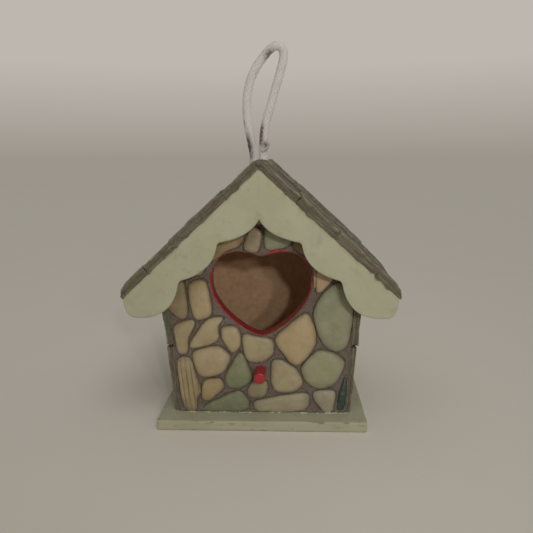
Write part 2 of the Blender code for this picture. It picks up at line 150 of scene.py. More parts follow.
# Front stones: sRGB body colour and the colour of the patches in it
PEBBLE_COLOURS = {
    "ochre_upper_left": ("B49A69", "9C8152"), "cream_cleft": ("B6A482", "A3906C"),
    "green_cleft": ("ADAD8A", "969A79"), "ochre_upper_right": ("9A7F4E", "7E6438"),
    "tan_left_eave": ("B8A27A", "9C875F"), "cream_triangle": ("D3B68A", "BEA073"),
    "green_large": ("B0AF8C", "9EA07E"), "tan_left_shoulder": ("AE9A72", "99855D"),
    "cream_left_block": ("CDB68A", "BFA67A"), "tan_left_wedge": ("C0AE84", "AD9A70"),
    "cream_slant": ("C8B68C", "B8A47A"), "cream_small_round": ("CFBC92", "C0AB80"),
    "cream_large_left": ("CCB78E", "BDA67B"), "cream_below_heart": ("C4B38B", "AFA37B"),
    "tan_diamond": ("CFB88C", "C6AE80"), "green_pointed": ("9D9D77", "8A8F6A"),
    "tan_ridged": ("C6B187", "AC966B"), "tan_small_left": ("BDA57A", "AE946A"),
    "green_foot_left": ("989A76", "888B68"), "tan_below_perch": ("A89A78", "94876A"),
    "tan_by_perch": ("C3B48E", "B2A27C"), "green_round_right": ("B3B08A", "A6A680"),
    "tan_foot_long": ("BDB291", "ADA27E"), "cream_foot_right": ("BDB399", "ABA187"),
    "slate_corner": ("47605A", "33453F"), "green_gable_left": ("9C9C7C", "84876A"),
    "tan_gable_top": ("B8A27A", "9C875F"), "tan_right_eave": ("B8A27A", "9C875F"),
}

# Roof and side stones: body and patch colours, dealt out in turn
SLATE_COLOURS = (("7D745E", "6A634F"), ("77735B", "64614C"), ("7E7460", "6C6250"), ("77735B", "64604B"),
                 ("7B725C", "67604C"), ("73725B", "5F604B"), ("7D7461", "6B6251"))


# Camera: its place, and its yaw, pitch down and roll in degrees
CAMERA_PLACE = (13.83, -304.85, 139.5)
CAMERA_TURN = (-2.36, 11.46, 0.44)
# Lamps: degrees right of the front, degrees up, watts; they stand LAMP_DISTANCE from the door and point at LAMP_AIM.
# Light above: degrees right, degrees up, softness in degrees, strength.
LAMPS = ((12.5, 20.0, 1.6), (20.5, 15.5, 1.0))
LAMP_DISTANCE = 500
LAMP_RADIUS = 13
LAMP_AIM = (30, -50, 165)
LAMP_CONE = 66
TOP_LIGHT = (30, 58, 30.0, 0.32)
ROOM_LIGHT = 0.33


def linear(code, light=1.0):
    """Linear RGBA from an sRGB hex code, its three channels times light."""
    channels = np.array([int(code[i:i + 2], 16) for i in (0, 2, 4)]) / 255
    curve = np.where(channels <= 0.04045, channels / 12.92, ((channels + 0.055) / 1.055) ** 2.4)
    return (*(curve * light).tolist(), 1.0)


# ---------------------------------------------------------------- shapes as whole arrays

def lattice(points, size, seed):
    """Noise from -1 to 1: random numbers on a cube lattice, blended in each cube by 3t^2 - 2t^3 along each axis."""
    scaled = np.asarray(points, float) / size + 31.7 * seed
    cell = np.floor(scaled).astype(np.int64)
    t = scaled - cell
    t = t * t * (3 - 2 * t)
    total = np.zeros(scaled.shape[:-1])
    for corner in itertools.product((0, 1), repeat=3):
        key = ((cell + corner) * (73856093, 19349663, 83492791)).sum(-1) + 2654435 * seed
        key = (key ^ (key >> 13)) * 1274126177
        value = ((key ^ (key >> 16)) & 0xFFFF) / 32767.5 - 1
        total += value * np.where(corner, t, 1 - t).prod(-1)
    return total


def ripple(points, size, seed, octaves=3):
    """Sum of lattice noises, each half the size and half the height of the one before."""
    return sum(lattice(points, size / 2 ** k, seed + k) / 2 ** k for k in range(octaves))


def even_ring(points, count, blur):
    """Closed outline at even spacing, anticlockwise, each harmonic k scaled by exp(-(2 pi k blur / L)^2 / 2)."""
    points = np.asarray(points, complex)
    closed = np.r_[points, points[:1]]
    steps = np.r_[0, np.cumsum(abs(np.diff(closed)))]
    at = np.linspace(0, steps[-1], count, endpoint=False)
    ring = np.interp(at, steps, closed.real) + 1j * np.interp(at, steps, closed.imag)
    turns = np.fft.fftfreq(count, 1 / count) * 2 * np.pi / steps[-1]
    ring = np.fft.ifft(np.fft.fft(ring) * np.exp(-(turns * blur) ** 2 / 2))
    area = (ring.conj() * np.roll(ring, -1)).imag.sum()
    return ring if area > 0 else ring[::-1]


def outward(ring):
    """Unit vectors across an anticlockwise outline, pointing away from its inside."""
    along = np.roll(ring, -1) - np.roll(ring, 1)
    return -1j * along / abs(along)


def by_angle(points):
    """Distinct (x, z) points as complex numbers, in order of the angle about their middle."""
    distinct = np.unique(np.round(points[:, 0] + 1j * points[:, 1], 3))
    return distinct[np.argsort(np.angle(distinct - distinct.mean()))]


def catmull_rom(points, steps):
    """Smooth curve through the points: on each span, the cubic whose end slopes are half its neighbours' distance."""
    p = np.vstack([2 * points[0] - points[1], points, 2 * points[-1] - points[-2]])
    t = (np.arange(steps) / steps)[None, :, None]
    a, b, c, d = (p[i:len(p) - 3 + i, None] for i in range(4))
    spans = 0.5 * (2 * b + (c - a) * t + (2 * a - 5 * b + 4 * c - d) * t ** 2 + (3 * b - a - 3 * c + d) * t ** 3)
    return np.vstack([spans.reshape(-1, points.shape[1]), points[-1:]])


def along_path(path):
    """Distance from the start of a path to each of its points."""
    return np.r_[0, np.cumsum(np.linalg.norm(np.diff(path, axis=0), axis=1))]


def ellipse_steps(count):
    """Shares (inwards, upwards) of a quarter circle in even turns: 1 - cos a and sin a."""
    angle = np.linspace(0, np.pi / 2, count)
    return 1 - np.cos(angle), np.sin(angle)


def heart_ring(count):
    """The door's outline: a smooth curve through the half heart and its mirror image."""
    half = np.array([x + 1j * z for x, z in HEART_HALF])
    whole = np.r_[half, -half[-2:0:-1].conj()]
    turned = np.r_[whole[-2:], whole, whole[:3]]
    curve = catmull_rom(np.column_stack([turned.real, turned.imag]), 12)[24:-24]
    return even_ring(curve[:, 0] + 1j * curve[:, 1], count, 0.35)


def tube(path, radius, across, count=40, relief=None):
    """Rows round a path: radius times (cos a, sin a) in the plane across it, turned to keep facing `across`."""
    slope = np.gradient(path, axis=0)
    slope /= np.linalg.norm(slope, axis=1)[:, None]
    side = across - slope * (across * slope).sum(1)[:, None]
    side /= np.linalg.norm(side, axis=1)[:, None]
    other = np.cross(slope, side)
    angle = np.arange(count) * 2 * np.pi / count
    reach = np.broadcast_to(np.asarray(radius, float).reshape(-1, 1), (len(path), count))
    if relief is not None:
        reach = reach + relief(angle[None, :])
    return (path[:, None] + reach[..., None] * (np.cos(angle)[None, :, None] * side[:, None]
                                                + np.sin(angle)[None, :, None] * other[:, None]))


def on_face(face, side, run, depth, rise):
    """Points of a sloping face of the house: a run along it, a depth from the front and a rise out of it."""
    x0, z0, along_x, along_z, out_x, out_z = face
    x = side * (x0 + run * along_x + rise * out_x)
    return np.stack(np.broadcast_arrays(x, depth, z0 + run * along_z + rise * out_z), -1)


def off_face(face, side, points):
    """Run and rise of points against a sloping face, the other way round from on_face."""
    x0, z0, along_x, along_z, out_x, out_z = face
    x, z = side * points[:, 0] - x0, points[:, 2] - z0
    return x * along_x + z * along_z, x * out_x + z * out_z


def terrace(points, size, step, seed):
    """Flat steps of split rock: ripple noise rounded to multiples of step, with a short ramp t^5 between them."""
    level = ripple(points, size, seed, 2) / step
    whole = np.floor(level)
    return step * (whole + (level - whole) ** 5)


def flat_stone(ring, floor, top, seed, rough=1.0, thin=None):
    """Rows (run, depth, rise) of a flat split stone, and its arris and edge marks.

    The rows go out over the underside, up the broken edge and in over the top. The edge moves in and out by
    noise that is stretched along each bed, so it breaks in layers. The top is a terrace, and thin gives the
    share of the thickness that is left at each run.
    """
    middle, out = ring.mean(), outward(ring)
    beds = 11
    inward, upward = ellipse_steps(5)
    shares = np.r_[0.05, 0.6, 0.97, np.ones(beds + 5), np.linspace(0.985, 0.03, 24)]
    insets = np.r_[0, 0, 0.3, np.zeros(beds), 0.7 * inward, np.full(24, 0.75)]
    lifts = np.r_[0, 0, 0, np.linspace(0, 1, beds) - 0.03, 0.96 + 0.04 * upward, np.ones(24)]
    edge = np.r_[0, 0, 0.5, np.ones(beds), np.linspace(1, 0.2, 5), np.linspace(0.2, 0, 6), np.zeros(18)]
    arris = np.r_[np.zeros(3), np.linspace(0, 1, beds) ** 9, 1, 1, 0.9, 0.7, 0.5, np.linspace(0.35, 0, 6), np.zeros(18)]
    beat = np.stack(np.broadcast_arrays(ring.real[None] / 5, ring.imag[None] / 5, 3.1 * lifts[:, None]), -1)
    broken = rough * (0.45 * lattice(beat, 1, seed) + 0.3 * lattice(beat * (3, 3, 1.6), 1, seed + 3))
    insets = insets[:, None] + edge[:, None] * (broken + 0.25)
    flat = middle + (ring - insets * out - middle) * shares[:, None]
    spots = np.stack([flat.real, flat.imag, 0 * flat.real], -1)
    height = top - floor + rough * (0.55 * terrace(spots, 15, 0.45, seed) + 0.10 * ripple(spots, 3, seed + 5))
    if thin is not None:
        height = height * thin(flat.real)
    rise = floor + height * lifts[:, None]
    worn = arris[:, None] * (0.7 + 0.5 * lattice(spots, 2.5, seed + 9))
    return flat.real, flat.imag, rise, np.clip(worn, 0, 1), np.broadcast_to(edge[:, None], worn.shape)


def board_rows(ring, low, high, rounding, seed, wave=0.10):
    """Rows (a, b, height) of a painted board with eased edges: quarter circles at both faces, gently waved faces."""
    middle, out = ring.mean(), outward(ring)
    inward, upward = ellipse_steps(6)
    faces = np.linspace(0.03, 0.985, 22)
    shares = np.r_[faces, np.ones(16), faces[::-1]]
    insets = rounding * np.r_[np.ones(22), inward[::-1], np.zeros(4), inward, np.ones(22)]
    lifts = np.r_[np.zeros(22), (rounding / (high - low)) * (1 - upward[::-1]), np.linspace(0.25, 0.75, 4),
                  1 - (rounding / (high - low)) * (1 - upward), np.ones(22)]
    edge = np.r_[np.zeros(20), 0.3, 0.6, np.ones(6), np.full(4, 0.5), np.ones(6), 0.6, 0.3, np.zeros(20)]
    wobble = 0.16 * lattice(np.stack([ring.real, ring.imag, 0 * ring.real], -1), 7, seed)
    flat = middle + (ring - (insets[:, None] + 0.1 + wobble) * out - middle) * shares[:, None]
    spots = np.stack([flat.real, flat.imag, 9 * np.broadcast_to(lifts[:, None], flat.shape)], -1)
    height = low + (high - low) * lifts[:, None] + wave * ripple(spots, 18, seed) * (2 * lifts[:, None] - 1)
    return flat.real, flat.imag, height, np.broadcast_to(edge[:, None], flat.shape)


# ---------------------------------------------------------------- meshes

def make_mesh(name, rows, loop=False, marks=None, sharp=None):
    """A closed mesh through rows of points that run round it, (row, around, xyz) in millimetres.

    loop joins the last row to the first. Otherwise each end is closed by a fan to its own middle. The faces
    are turned outwards by the sign of the volume, the sum of a . (b x c) over the triangles. marks are
    numbers, or vectors in metres, for each point.
    """
    rows = np.asarray(rows, float)
    count, around = rows.shape[:2]
    index = np.arange(count * around).reshape(count, around)
    first = index if loop else index[:-1]
    second = np.roll(index, -1, 0) if loop else index[1:]
    quads = np.stack([first, np.roll(first, -1, 1), np.roll(second, -1, 1), second], -1).reshape(-1, 4)
    points = rows.reshape(-1, 3)
    faces = [quads]
    if not loop:
        points = np.vstack([points, rows[0].mean(0), rows[-1].mean(0)])
        hubs = np.full((2, around), [[count * around], [count * around + 1]])
        faces.append(np.stack([np.roll(index[0], -1), index[0], hubs[0]], -1))
        faces.append(np.stack([index[-1], np.roll(index[-1], -1), hubs[1]], -1))
    halves = np.vstack([quads[:, :3], quads[:, [0, 2, 3]], *faces[1:]])
    a, b, c = (points[halves[:, i]] - points.mean(0) for i in range(3))
    if (a * np.cross(b, c)).sum() < 0:
        faces = [f[:, ::-1] for f in faces]
    mesh = bpy.data.meshes.new(name)
    mesh.from_pydata(points * MM, [], [face for f in faces for face in f.tolist()])
    for key, values in (marks or {}).items():
        values = np.asarray(values, float)
        ends = [] if loop else [values[0].mean(0, keepdims=True), values[-1].mean(0, keepdims=True)]
        kind = "FLOAT_VECTOR" if values.ndim == 3 else "FLOAT"
        flat = np.concatenate([values.reshape(count * around, -1), *(e.reshape(1, -1) for e in ends)])
        field = mesh.attributes.new(key, kind, "POINT")
        field.data.foreach_set("vector" if values.ndim == 3 else "value", flat.astype(np.float32).ravel())
    mesh.shade_smooth()
    if sharp:
        mesh.set_sharp_from_angle(angle=math.radians(sharp))
    return mesh


def add_piece(name, mesh, material, body="house", replaces=()):
    """Put a finished mesh in the scene: it rides on a body, stands for CAD nodes and takes a slot's finish."""
    piece = bpy.data.objects.new(name, mesh)
    bpy.context.scene.collection.objects.link(piece)
    mesh.materials.append(material)
    if body:
        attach(piece, body)
    if replaces:
        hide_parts(*replaces)
    return piece


def drill(piece, plan, low, high):
    """Cut an upright hole through a piece, its plan a closed outline, and keep the result as the piece's mesh.

    The exact solver leaves the cutter standing on one of these stones, so the cut uses the manifold one.
    """
    rows = np.stack([np.stack([plan.real, plan.imag, 0 * plan.real + z], -1) for z in (low, high)])
    cutter = bpy.data.objects.new("drill", make_mesh("drill", rows))
    bpy.context.scene.collection.objects.link(cutter)
    hole = piece.modifiers.new("hole", "BOOLEAN")
    hole.operation, hole.solver = "DIFFERENCE", "MANIFOLD"
    hole.object = cutter
    drilled = bpy.data.meshes.new_from_object(piece.evaluated_get(bpy.context.evaluated_depsgraph_get()))
    whole = max(v.co.z for v in piece.data.vertices)
    if len(drilled.vertices) == len(piece.data.vertices) or max(v.co.z for v in drilled.vertices) > whole + 0.01 * MM:
        raise RuntimeError(piece.name + " was not drilled, or grew when it was")
    piece.modifiers.clear()
    piece.data = drilled
    bpy.data.objects.remove(cutter)


# ---------------------------------------------------------------- finishes

def node(tree, kind, inputs=None, **settings):
    """Add a node. Settings are its properties, and inputs are values or sockets by input name or number."""
    made = tree.nodes.new(kind)
    for key, value in settings.items():
        setattr(made, key, value)
    for key, value in (inputs or {}).items():
        if isinstance(value, bpy.types.NodeSocket):
            tree.links.new(value, made.inputs[key])
        else:
            made.inputs[key].default_value = value
    return made


def new_finish(name, roughness, ior=1.5, coat=0.0, sheen=0.0):
    """A Principled material with its constant numbers on the shader's own sockets."""
    material = bpy.data.materials.new(name)
    material.use_nodes = True
    shader = material.node_tree.nodes["Principled BSDF"]
    for key, value in (("Roughness", roughness), ("IOR", ior), ("Coat Weight", coat), ("Sheen Weight", sheen),
                       ("Coat Roughness", 0.25), ("Sheen Roughness", 0.6)):
        shader.inputs[key].default_value = value
    return material, material.node_tree, shader


def patches(tree, where, size, low, high, detail=3.0, seed=0.0):
    """Mask from 0 to 1 of patches about size millimetres across: noise stretched from low..high to 0..1."""
    moved = node(tree, "ShaderNodeVectorMath", {0: where, 1: (seed, 0.7 * seed, 0.3 * seed)}, operation="ADD")
    noise = node(tree, "ShaderNodeTexNoise", {"Vector": moved.outputs[0], "Scale": 1 / (size * MM),
                                              "Detail": detail, "Roughness": 0.6})
    return node(tree, "ShaderNodeMapRange", {0: noise.outputs[0], 1: low, 2: high}).outputs[0]


def product(tree, *factors):
    """The factors multiplied together."""
    total = factors[0]
    for factor in factors[1:]:
        total = node(tree, "ShaderNodeMath", {0: total, 1: factor}, operation="MULTIPLY").outputs[0]
    return total


def layered(tree, shader, base, *layers):
    """Colour in layers: each (mask, colour, strength) covers what is under it where its mask is 1."""
    colour = base
    for mask, over, strength in layers:
        share = product(tree, mask, strength)
        colour = node(tree, "ShaderNodeMix", {0: share, 6: colour, 7: over}, data_type="RGBA").outputs[2]
    tree.links.new(colour, shader.inputs["Base Color"])
    return colour


def bumped(tree, shader, *heights):
    """Fine relief: each (height, depth in millimetres) is one Bump node after the last."""
    normal = None
    for height, depth in heights:
        inputs = {"Height": height, "Distance": depth * MM, "Strength": 1.0}
        if normal is not None:
            inputs["Normal"] = normal
        normal = node(tree, "ShaderNodeBump", inputs).outputs[0]
    tree.links.new(normal, shader.inputs["Normal"])


def mark(tree, name):
    """A number stored on the piece's points."""
    return node(tree, "ShaderNodeAttribute", attribute_name=name).outputs["Fac"]


def lay_of(tree, stretch=(1, 1, 1)):
    """The piece's own coordinates, stored on its points in metres, stretched along each axis."""
    lay = node(tree, "ShaderNodeAttribute", attribute_name="lay").outputs["Vector"]
    return node(tree, "ShaderNodeVectorMath", {0: lay, 1: stretch}, operation="MULTIPLY").outputs[0]


def place_of(tree):
    """Object coordinates, which are the row frame's own metres."""
    return node(tree, "ShaderNodeTexCoord").outputs["Object"]


def river_pebble(name, body, patch, seed):
    """Tumbled river pebble under a thin satin varnish: soft cloudy colour, fine speckle, and a dark rim by the mortar
    that is grime and painted shade.
    """
    material, tree, shader = new_finish(name, 0.5, 1.5, coat=0.12)
    where = place_of(tree)
    cloud = patches(tree, where, 9.0, 0.4, 0.62, 4.0, seed)
    speck = patches(tree, where, 0.9, 0.58, 0.72, 2.0, seed)
    pale = patches(tree, where, 2.6, 0.52, 0.75, 4.0, seed + 1)
    # The rim mark darkens each pebble's edge by the mortar and the ridged stone's grooves: grime, and painted shade.
    rim = mark(tree, "rim")
    layered(tree, shader, linear(body, PEBBLE_TONE), (cloud, linear(patch, PEBBLE_TONE), 0.8),
            (pale, linear("E2D6BA", PEBBLE_TONE), 0.16),
            (speck, linear("5E5240"), 0.16), (rim, linear("4E443A"), 0.55))
    grain = patches(tree, where, 0.7, 0.3, 0.7, 3.0, seed)
    bumped(tree, shader, (cloud, 0.10), (grain, 0.03))
    return material


def split_slate(name, body, patch, seed):
    """Flat field stone split along its beds: dull faces with lichen-green and iron stains, paler worn arrises."""
    material, tree, shader = new_finish(name, 0.72, 1.5)
    bedded = lay_of(tree, (1, 1, 7))
    stain = patches(tree, bedded, 11.0, 0.42, 0.6, 5.0, seed)
    streak = patches(tree, lay_of(tree, (0.35, 0.35, 9)), 2.2, 0.45, 0.62, 3.0, seed + 2)
    bed = patches(tree, lay_of(tree, (0.12, 0.12, 7)), 2.4, 0.57, 0.64, 2.0, seed + 6)
    lichen = patches(tree, bedded, 5.0, 0.55, 0.66, 5.0, seed + 3)
    iron = patches(tree, bedded, 7.0, 0.58, 0.7, 4.0, seed + 4)
    grit = patches(tree, lay_of(tree), 0.8, 0.3, 0.7, 3.0, seed)
    arris = product(tree, mark(tree, "arris"), patches(tree, lay_of(tree), 1.6, 0.3, 0.5, 2.0, seed))
    layered(tree, shader, linear(body), (stain, linear(patch), 0.9), (streak, linear("4A4438"), 0.45),
            (lichen, linear("5F6A50"), 0.3), (iron, linear("6E5138"), 0.22), (grit, linear("8C8370"), 0.22),
            (product(tree, bed, mark(tree, "split")), linear("A89F84"), 0.6), (arris, linear("B3AA90"), 0.9))
    bumped(tree, shader, (stain, 0.15), (streak, 0.18), (grit, 0.08))
    return material


def chalk_paint(name, colours, wood, lay=True, worn=0.2, painted_shade=0.0):
    """Sage chalk paint brushed on plywood: faint brush lines and rubbed edges; bare wood inside the box.

    wood is the bare wood's two colours. worn is the strength of the rubbed edges, and the last argument the strength of
    an even painted shade that darkens the whole board.
    """
    material, tree, shader = new_finish(name, 0.62, 1.48)
    where = place_of(tree)
    brush = lay_of(tree, (0.06, 1, 1)) if lay else where
    lines = patches(tree, brush, 0.9, 0.35, 0.65, 3.0)
    cloud = patches(tree, where, 16.0, 0.38, 0.62, 4.0, 2.0)
    dirt = patches(tree, where, 5.0, 0.56, 0.75, 5.0, 4.0)
    lengthways = node(tree, "ShaderNodeVectorMath", {0: where, 1: (0.3, 1, 1)}, operation="MULTIPLY").outputs[0]
    rub = product(tree, mark(tree, "edge"), patches(tree, lengthways, 2.4, 0.605, 0.655, 4.0, 5.0))
    axes = node(tree, "ShaderNodeSeparateXYZ", {0: where})
    leaning = node(tree, "ShaderNodeMath", {0: axes.outputs[2], 1: -FLARE, 2: -(FOOT_X - BOARD_THICK + 0.2) * MM},
                   operation="MULTIPLY_ADD").outputs[0]
    sideways = node(tree, "ShaderNodeMath", {0: axes.outputs[0]}, operation="ABSOLUTE").outputs[0]
    tests = [(node(tree, "ShaderNodeMath", {0: sideways, 1: leaning}, operation="ADD").outputs[0], "LESS_THAN", 0.0),
             (axes.outputs[1], "GREATER_THAN", (DOOR_BACK - 0.05) * MM),
             (axes.outputs[1], "LESS_THAN", (edges_of("back_wall")[0][1] + 0.3) * MM),
             (axes.outputs[2], "GREATER_THAN", (BASE_TOP - 1.5) * MM)]
    inside = product(tree, *(node(tree, "ShaderNodeMath", {0: value, 1: limit}, operation=test).outputs[0]
                             for value, test, limit in tests))
    grain = patches(tree, where, 3.0, 0.35, 0.7, 5.0, 7.0)
    bare = node(tree, "ShaderNodeMix", {0: grain, 6: wood[0], 7: wood[1]}, data_type="RGBA")
    # The 6E6A52 layer is an even painted shade over the whole board, used to darken the base.
    layered(tree, shader, colours.paint, (cloud, linear("ABA989"), 0.45), (lines, linear("C4C2A8"), 0.1),
            (dirt, linear("817D63"), 0.28), (1.0, linear("6E6A52"), painted_shade), (rub, linear("7D6A4B"), worn),
            (inside, bare.outputs[2], 1.0))
    bumped(tree, shader, (lines, 0.03), (cloud, 0.12))
    return material


def red_enamel(name, colours):
    """Red craft enamel, thickly brushed: darker where it is thin, with a soft gloss."""
    material, tree, shader = new_finish(name, 0.38, 1.5, coat=0.2)
    where = place_of(tree)
    thin = patches(tree, where, 1.8, 0.42, 0.62, 4.0, 1.0)
    layered(tree, shader, colours.red, (thin, linear("7E1E22"), 0.6))
    bumped(tree, shader, (thin, 0.08))
    return material


def sand_mortar(name, colours):
    """Sanded mortar, grey-brown with a purple cast: visible sand grains and small darker pits."""
    material, tree, shader = new_finish(name, 0.93, 1.45)
    where = place_of(tree)
    cloud = patches(tree, where, 6.0, 0.38, 0.62, 4.0)
    sand = patches(tree, where, 0.75, 0.5, 0.68, 2.0, 3.0)
    pits = patches(tree, where, 1.5, 0.58, 0.7, 3.0, 5.0)
    layered(tree, shader, colours.mortar, (cloud, linear("6E6058"), 0.6), (sand, linear("A2958A"), 0.5),
            (pits, linear("4A3F38"), 0.6))
    bumped(tree, shader, (sand, 0.16), (pits, 0.2))
    return material


def cotton(name, colours):
    """Braided unbleached cotton: matt fibres with a soft sheen, painted shade in the braid's hollows, stained where it
    enters the ridge.
    """
    material, tree, shader = new_finish(name, 0.92, 1.45, sheen=0.35)
    fibre = patches(tree, lay_of(tree, (1, 1, 0.35)), 0.35, 0.35, 0.65, 2.0)
    cloud = patches(tree, lay_of(tree), 4.5, 0.4, 0.65, 4.0, 2.0)
    layered(tree, shader, colours.cotton, (cloud, linear("DED6CC"), 0.5), (fibre, linear("F2ECE2"), 0.3),
            # Painted shade: the braid's hollows between its bumps are darkened.
            (mark(tree, "braid_hollow_shade"), linear("B8AEA2"), 0.22),
            (product(tree, mark(tree, "brown_stain"), patches(tree, lay_of(tree), 1.7, 0.28, 0.52, 4.0, 6.0)),
             linear("5E4A3C"), 0.95),
            (product(tree, mark(tree, "dark_stain"), patches(tree, lay_of(tree), 1.6, 0.25, 0.5, 4.0, 8.0)),
             linear("35382C"), 0.95))
    bumped(tree, shader, (fibre, 0.12))
    return material


def white_glue(name):
    """Dried white filler: chalky, slightly uneven."""
    material, tree, shader = new_finish(name, 0.6, 1.48)
    lumps = patches(tree, place_of(tree), 1.2, 0.4, 0.65, 3.0)
    layered(tree, shader, linear("D8D6C8"), (lumps, linear("B4B29C"), 0.7))
    bumped(tree, shader, (lumps, 0.15))
    return material


# ---------------------------------------------------------------- settings

class BirdhouseColours(bpy.types.PropertyGroup):
    """Main colours of the finishes."""
    paint: bpy.props.FloatVectorProperty(name="Board paint", description="Chalk paint on the boards", size=4,
                                         subtype="COLOR", min=0, max=1, default=linear("BBBA9C"))
    # Its default is brightened past the real wood to lift the shade inside the box: painted light.
    bare_wood: bpy.props.FloatVectorProperty(name="Bare wood", description="Unpainted wood inside the box", size=4,
                                             subtype="COLOR", min=0, max=1, default=linear("FAD09A"))
    red: bpy.props.FloatVectorProperty(name="Red enamel", description="Door edge and perch", size=4,
                                       subtype="COLOR", min=0, max=1, default=linear("B0292E"))
    mortar: bpy.props.FloatVectorProperty(name="Mortar", description="Mortar between the stones", size=4,
                                          subtype="COLOR", min=0, max=1, default=linear("7A6D62"))
    cotton: bpy.props.FloatVectorProperty(name="Cotton", description="Cord loop", size=4,
                                          subtype="COLOR", min=0, max=1, default=linear("F3EFEA"))


class BirdhouseSizes(bpy.types.PropertyGroup):
    """Sizes of the fine relief, in metres."""
    mortar_relief: bpy.props.FloatProperty(name="Mortar relief", description="How far the mortar rises and falls",
                                           unit="LENGTH", min=0, max=0.002, default=0.32 * MM)
    stone_relief: bpy.props.FloatProperty(name="Pebble relief", description="Height of the dents in the pebbles",
                                          unit="LENGTH", min=0, max=0.002, default=0.32 * MM)
    edge_rounding: bpy.props.FloatProperty(name="Board edges", description="Radius of the boards' eased edges",
                                           unit="LENGTH", min=0, max=0.003, default=0.8 * MM)
    braid: bpy.props.FloatProperty(name="Cord braid", description="Height of the cord's braided bumps",
                                   unit="LENGTH", min=0, max=0.001, default=0.07 * MM)


def colours():
    """The colour settings in use."""
    return bpy.context.scene.birdhouse_colours


def size(name):
    """A size setting in millimetres."""
    return getattr(bpy.context.scene.birdhouse_sizes, name) / MM


# ---------------------------------------------------------------- pieces

def cord_path():
    """Centreline of the whole cord and where the loop starts and stops on it."""
    left = [(LEG_X[0], z) for z in (LEG_FOOT_Z, 130.0, 136.0)]
    right = [(LEG_X[1], z) for z in (136.0, 130.0, LEG_FOOT_Z)]
    route = np.array(left + LOOP_ROUTE + right)
    steps = 16
    flat = catmull_rom(route, steps)
    path = np.column_stack([flat[:, 0], np.zeros(len(flat)), flat[:, 1]])
    return path, len(left) * steps, (len(left) + len(LOOP_ROUTE) - 1) * steps


def stain(points, centre, reach):
    """Mark that falls off as exp(-(distance / reach)^2) from a point (x, z) of the cord's front view."""
    x, z = points[..., 0] - centre[0], points[..., 2] - centre[1]
    return np.exp(-((x / reach[0]) ** 2 + (z / reach[1]) ** 2))


def cord_part(name, path, start, count=48):
    """Mesh of a stretch of braided cord whose first point lies `start` along the whole cord."""
    along = start + along_path(path)
    across = np.broadcast_to((0.0, 1.0, 0.0), path.shape)
    angle = np.arange(count) * 2 * np.pi / count
    bumps = np.sin(6 * angle)[None] * np.cos(2 * np.pi * along / 3.4)[:, None]
    lay = np.stack(np.broadcast_arrays(CORD_RADIUS * np.cos(angle)[None], CORD_RADIUS * np.sin(angle)[None],
                                       along[:, None]), -1)
    uneven = 0.09 * ripple(lay, 5.0, 3)
    rows = tube(path, CORD_RADIUS - 0.12, across, count, lambda a: size("braid") * bumps + uneven)
    dark = sum(stain(rows, centre, reach) for centre, reach in DARK_STAINS)
    brown = sum(stain(rows, centre, reach) for centre, reach in BROWN_STAINS)
    # The hollow mark is painted shade: 1 where the braid dips between its bumps.
    marks = {"lay": lay * MM, "braid_hollow_shade": np.clip(0.5 - bumps, 0, 1), "dark_stain": np.clip(dark, 0, 1),
             "brown_stain": np.clip(1.2 * brown, 0, 1)}
    return make_mesh(name, rows, marks=marks)


class BIRDHOUSE_OT_cord(bpy.types.Operator):
    """Make the swinging cotton loop, its two legs in the ridge and the knot under them"""
    bl_idname = "birdhouse.cord"
    bl_label = "Cord Loop"

    def execute(self, context):
        finish = cotton("braided_cotton_cord", colours())
        path, start, stop = cord_path()
        along = along_path(path)
        parts = {"cord_leg_left": (0, start), "cord_leg_right": (stop, len(path) - 1)}
        legs = [add_piece(name + "_braid", cord_part(name, path[a:b + 1], along[a]), finish,
                          replaces=[name]) for name, (a, b) in parts.items()]
        loop = add_piece("cord_loop", cord_part("cord_loop", path[start:stop + 1], along[start]), finish,
                         body=None, replaces=["hanging_loop"])
        # An overhand knot as a trefoil: 2.9 + 1.25 cos 3t from the middle at the angle 2t, and 2.6 sin 3t high
        low, high = edges_of("cord_knot")
        t = np.linspace(0, 2 * np.pi, 180, endpoint=False)
        reach = 2.9 + 1.25 * np.cos(3 * t)
        line = np.stack([reach * np.cos(2 * t), reach * np.sin(2 * t), 2.6 * np.sin(3 * t)], -1)
        rows = tube(line, 2.0, line + (0, 0, 1e-3), 32) + (low + high) / 2
        lay = np.stack(np.broadcast_arrays(rows[..., 0], rows[..., 1], rows[..., 2]), -1) * MM
        none = np.zeros(rows.shape[:2])
        knot = add_piece("cord_overhand_knot", make_mesh("cord_overhand_knot", rows, loop=True, marks={
            "lay": lay, "braid_hollow_shade": none, "dark_stain": none, "brown_stain": none}), finish,
            replaces=["cord_knot"])
        # The strand narrows to its tip and its surface is pushed about by noise
        line = catmull_rom(np.array(STRAND_ROUTE), 12)
        fray = np.linspace(1, 0, len(line))
        strand = tube(line, 0.35 + 0.95 * fray ** 0.7, np.broadcast_to((0.0, 1.0, 0.0), line.shape), 24)
        strand = strand + 0.18 * np.stack([lattice(strand, 0.9, seed) for seed in (91, 92, 93)], -1)
        marks = {"lay": strand * MM, "braid_hollow_shade": np.zeros(strand.shape[:2]), "dark_stain": np.zeros(strand.shape[:2]),
                 "brown_stain": np.full(strand.shape[:2], 0.55)}
        tuft = add_piece("cord_frayed_strand", make_mesh("cord_frayed_strand", strand, marks=marks), finish,
                         body=None)
        for piece in (loop, tuft):
            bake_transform(piece)
        line = path[start:stop + 1] * MM
        return {"FINISHED"}


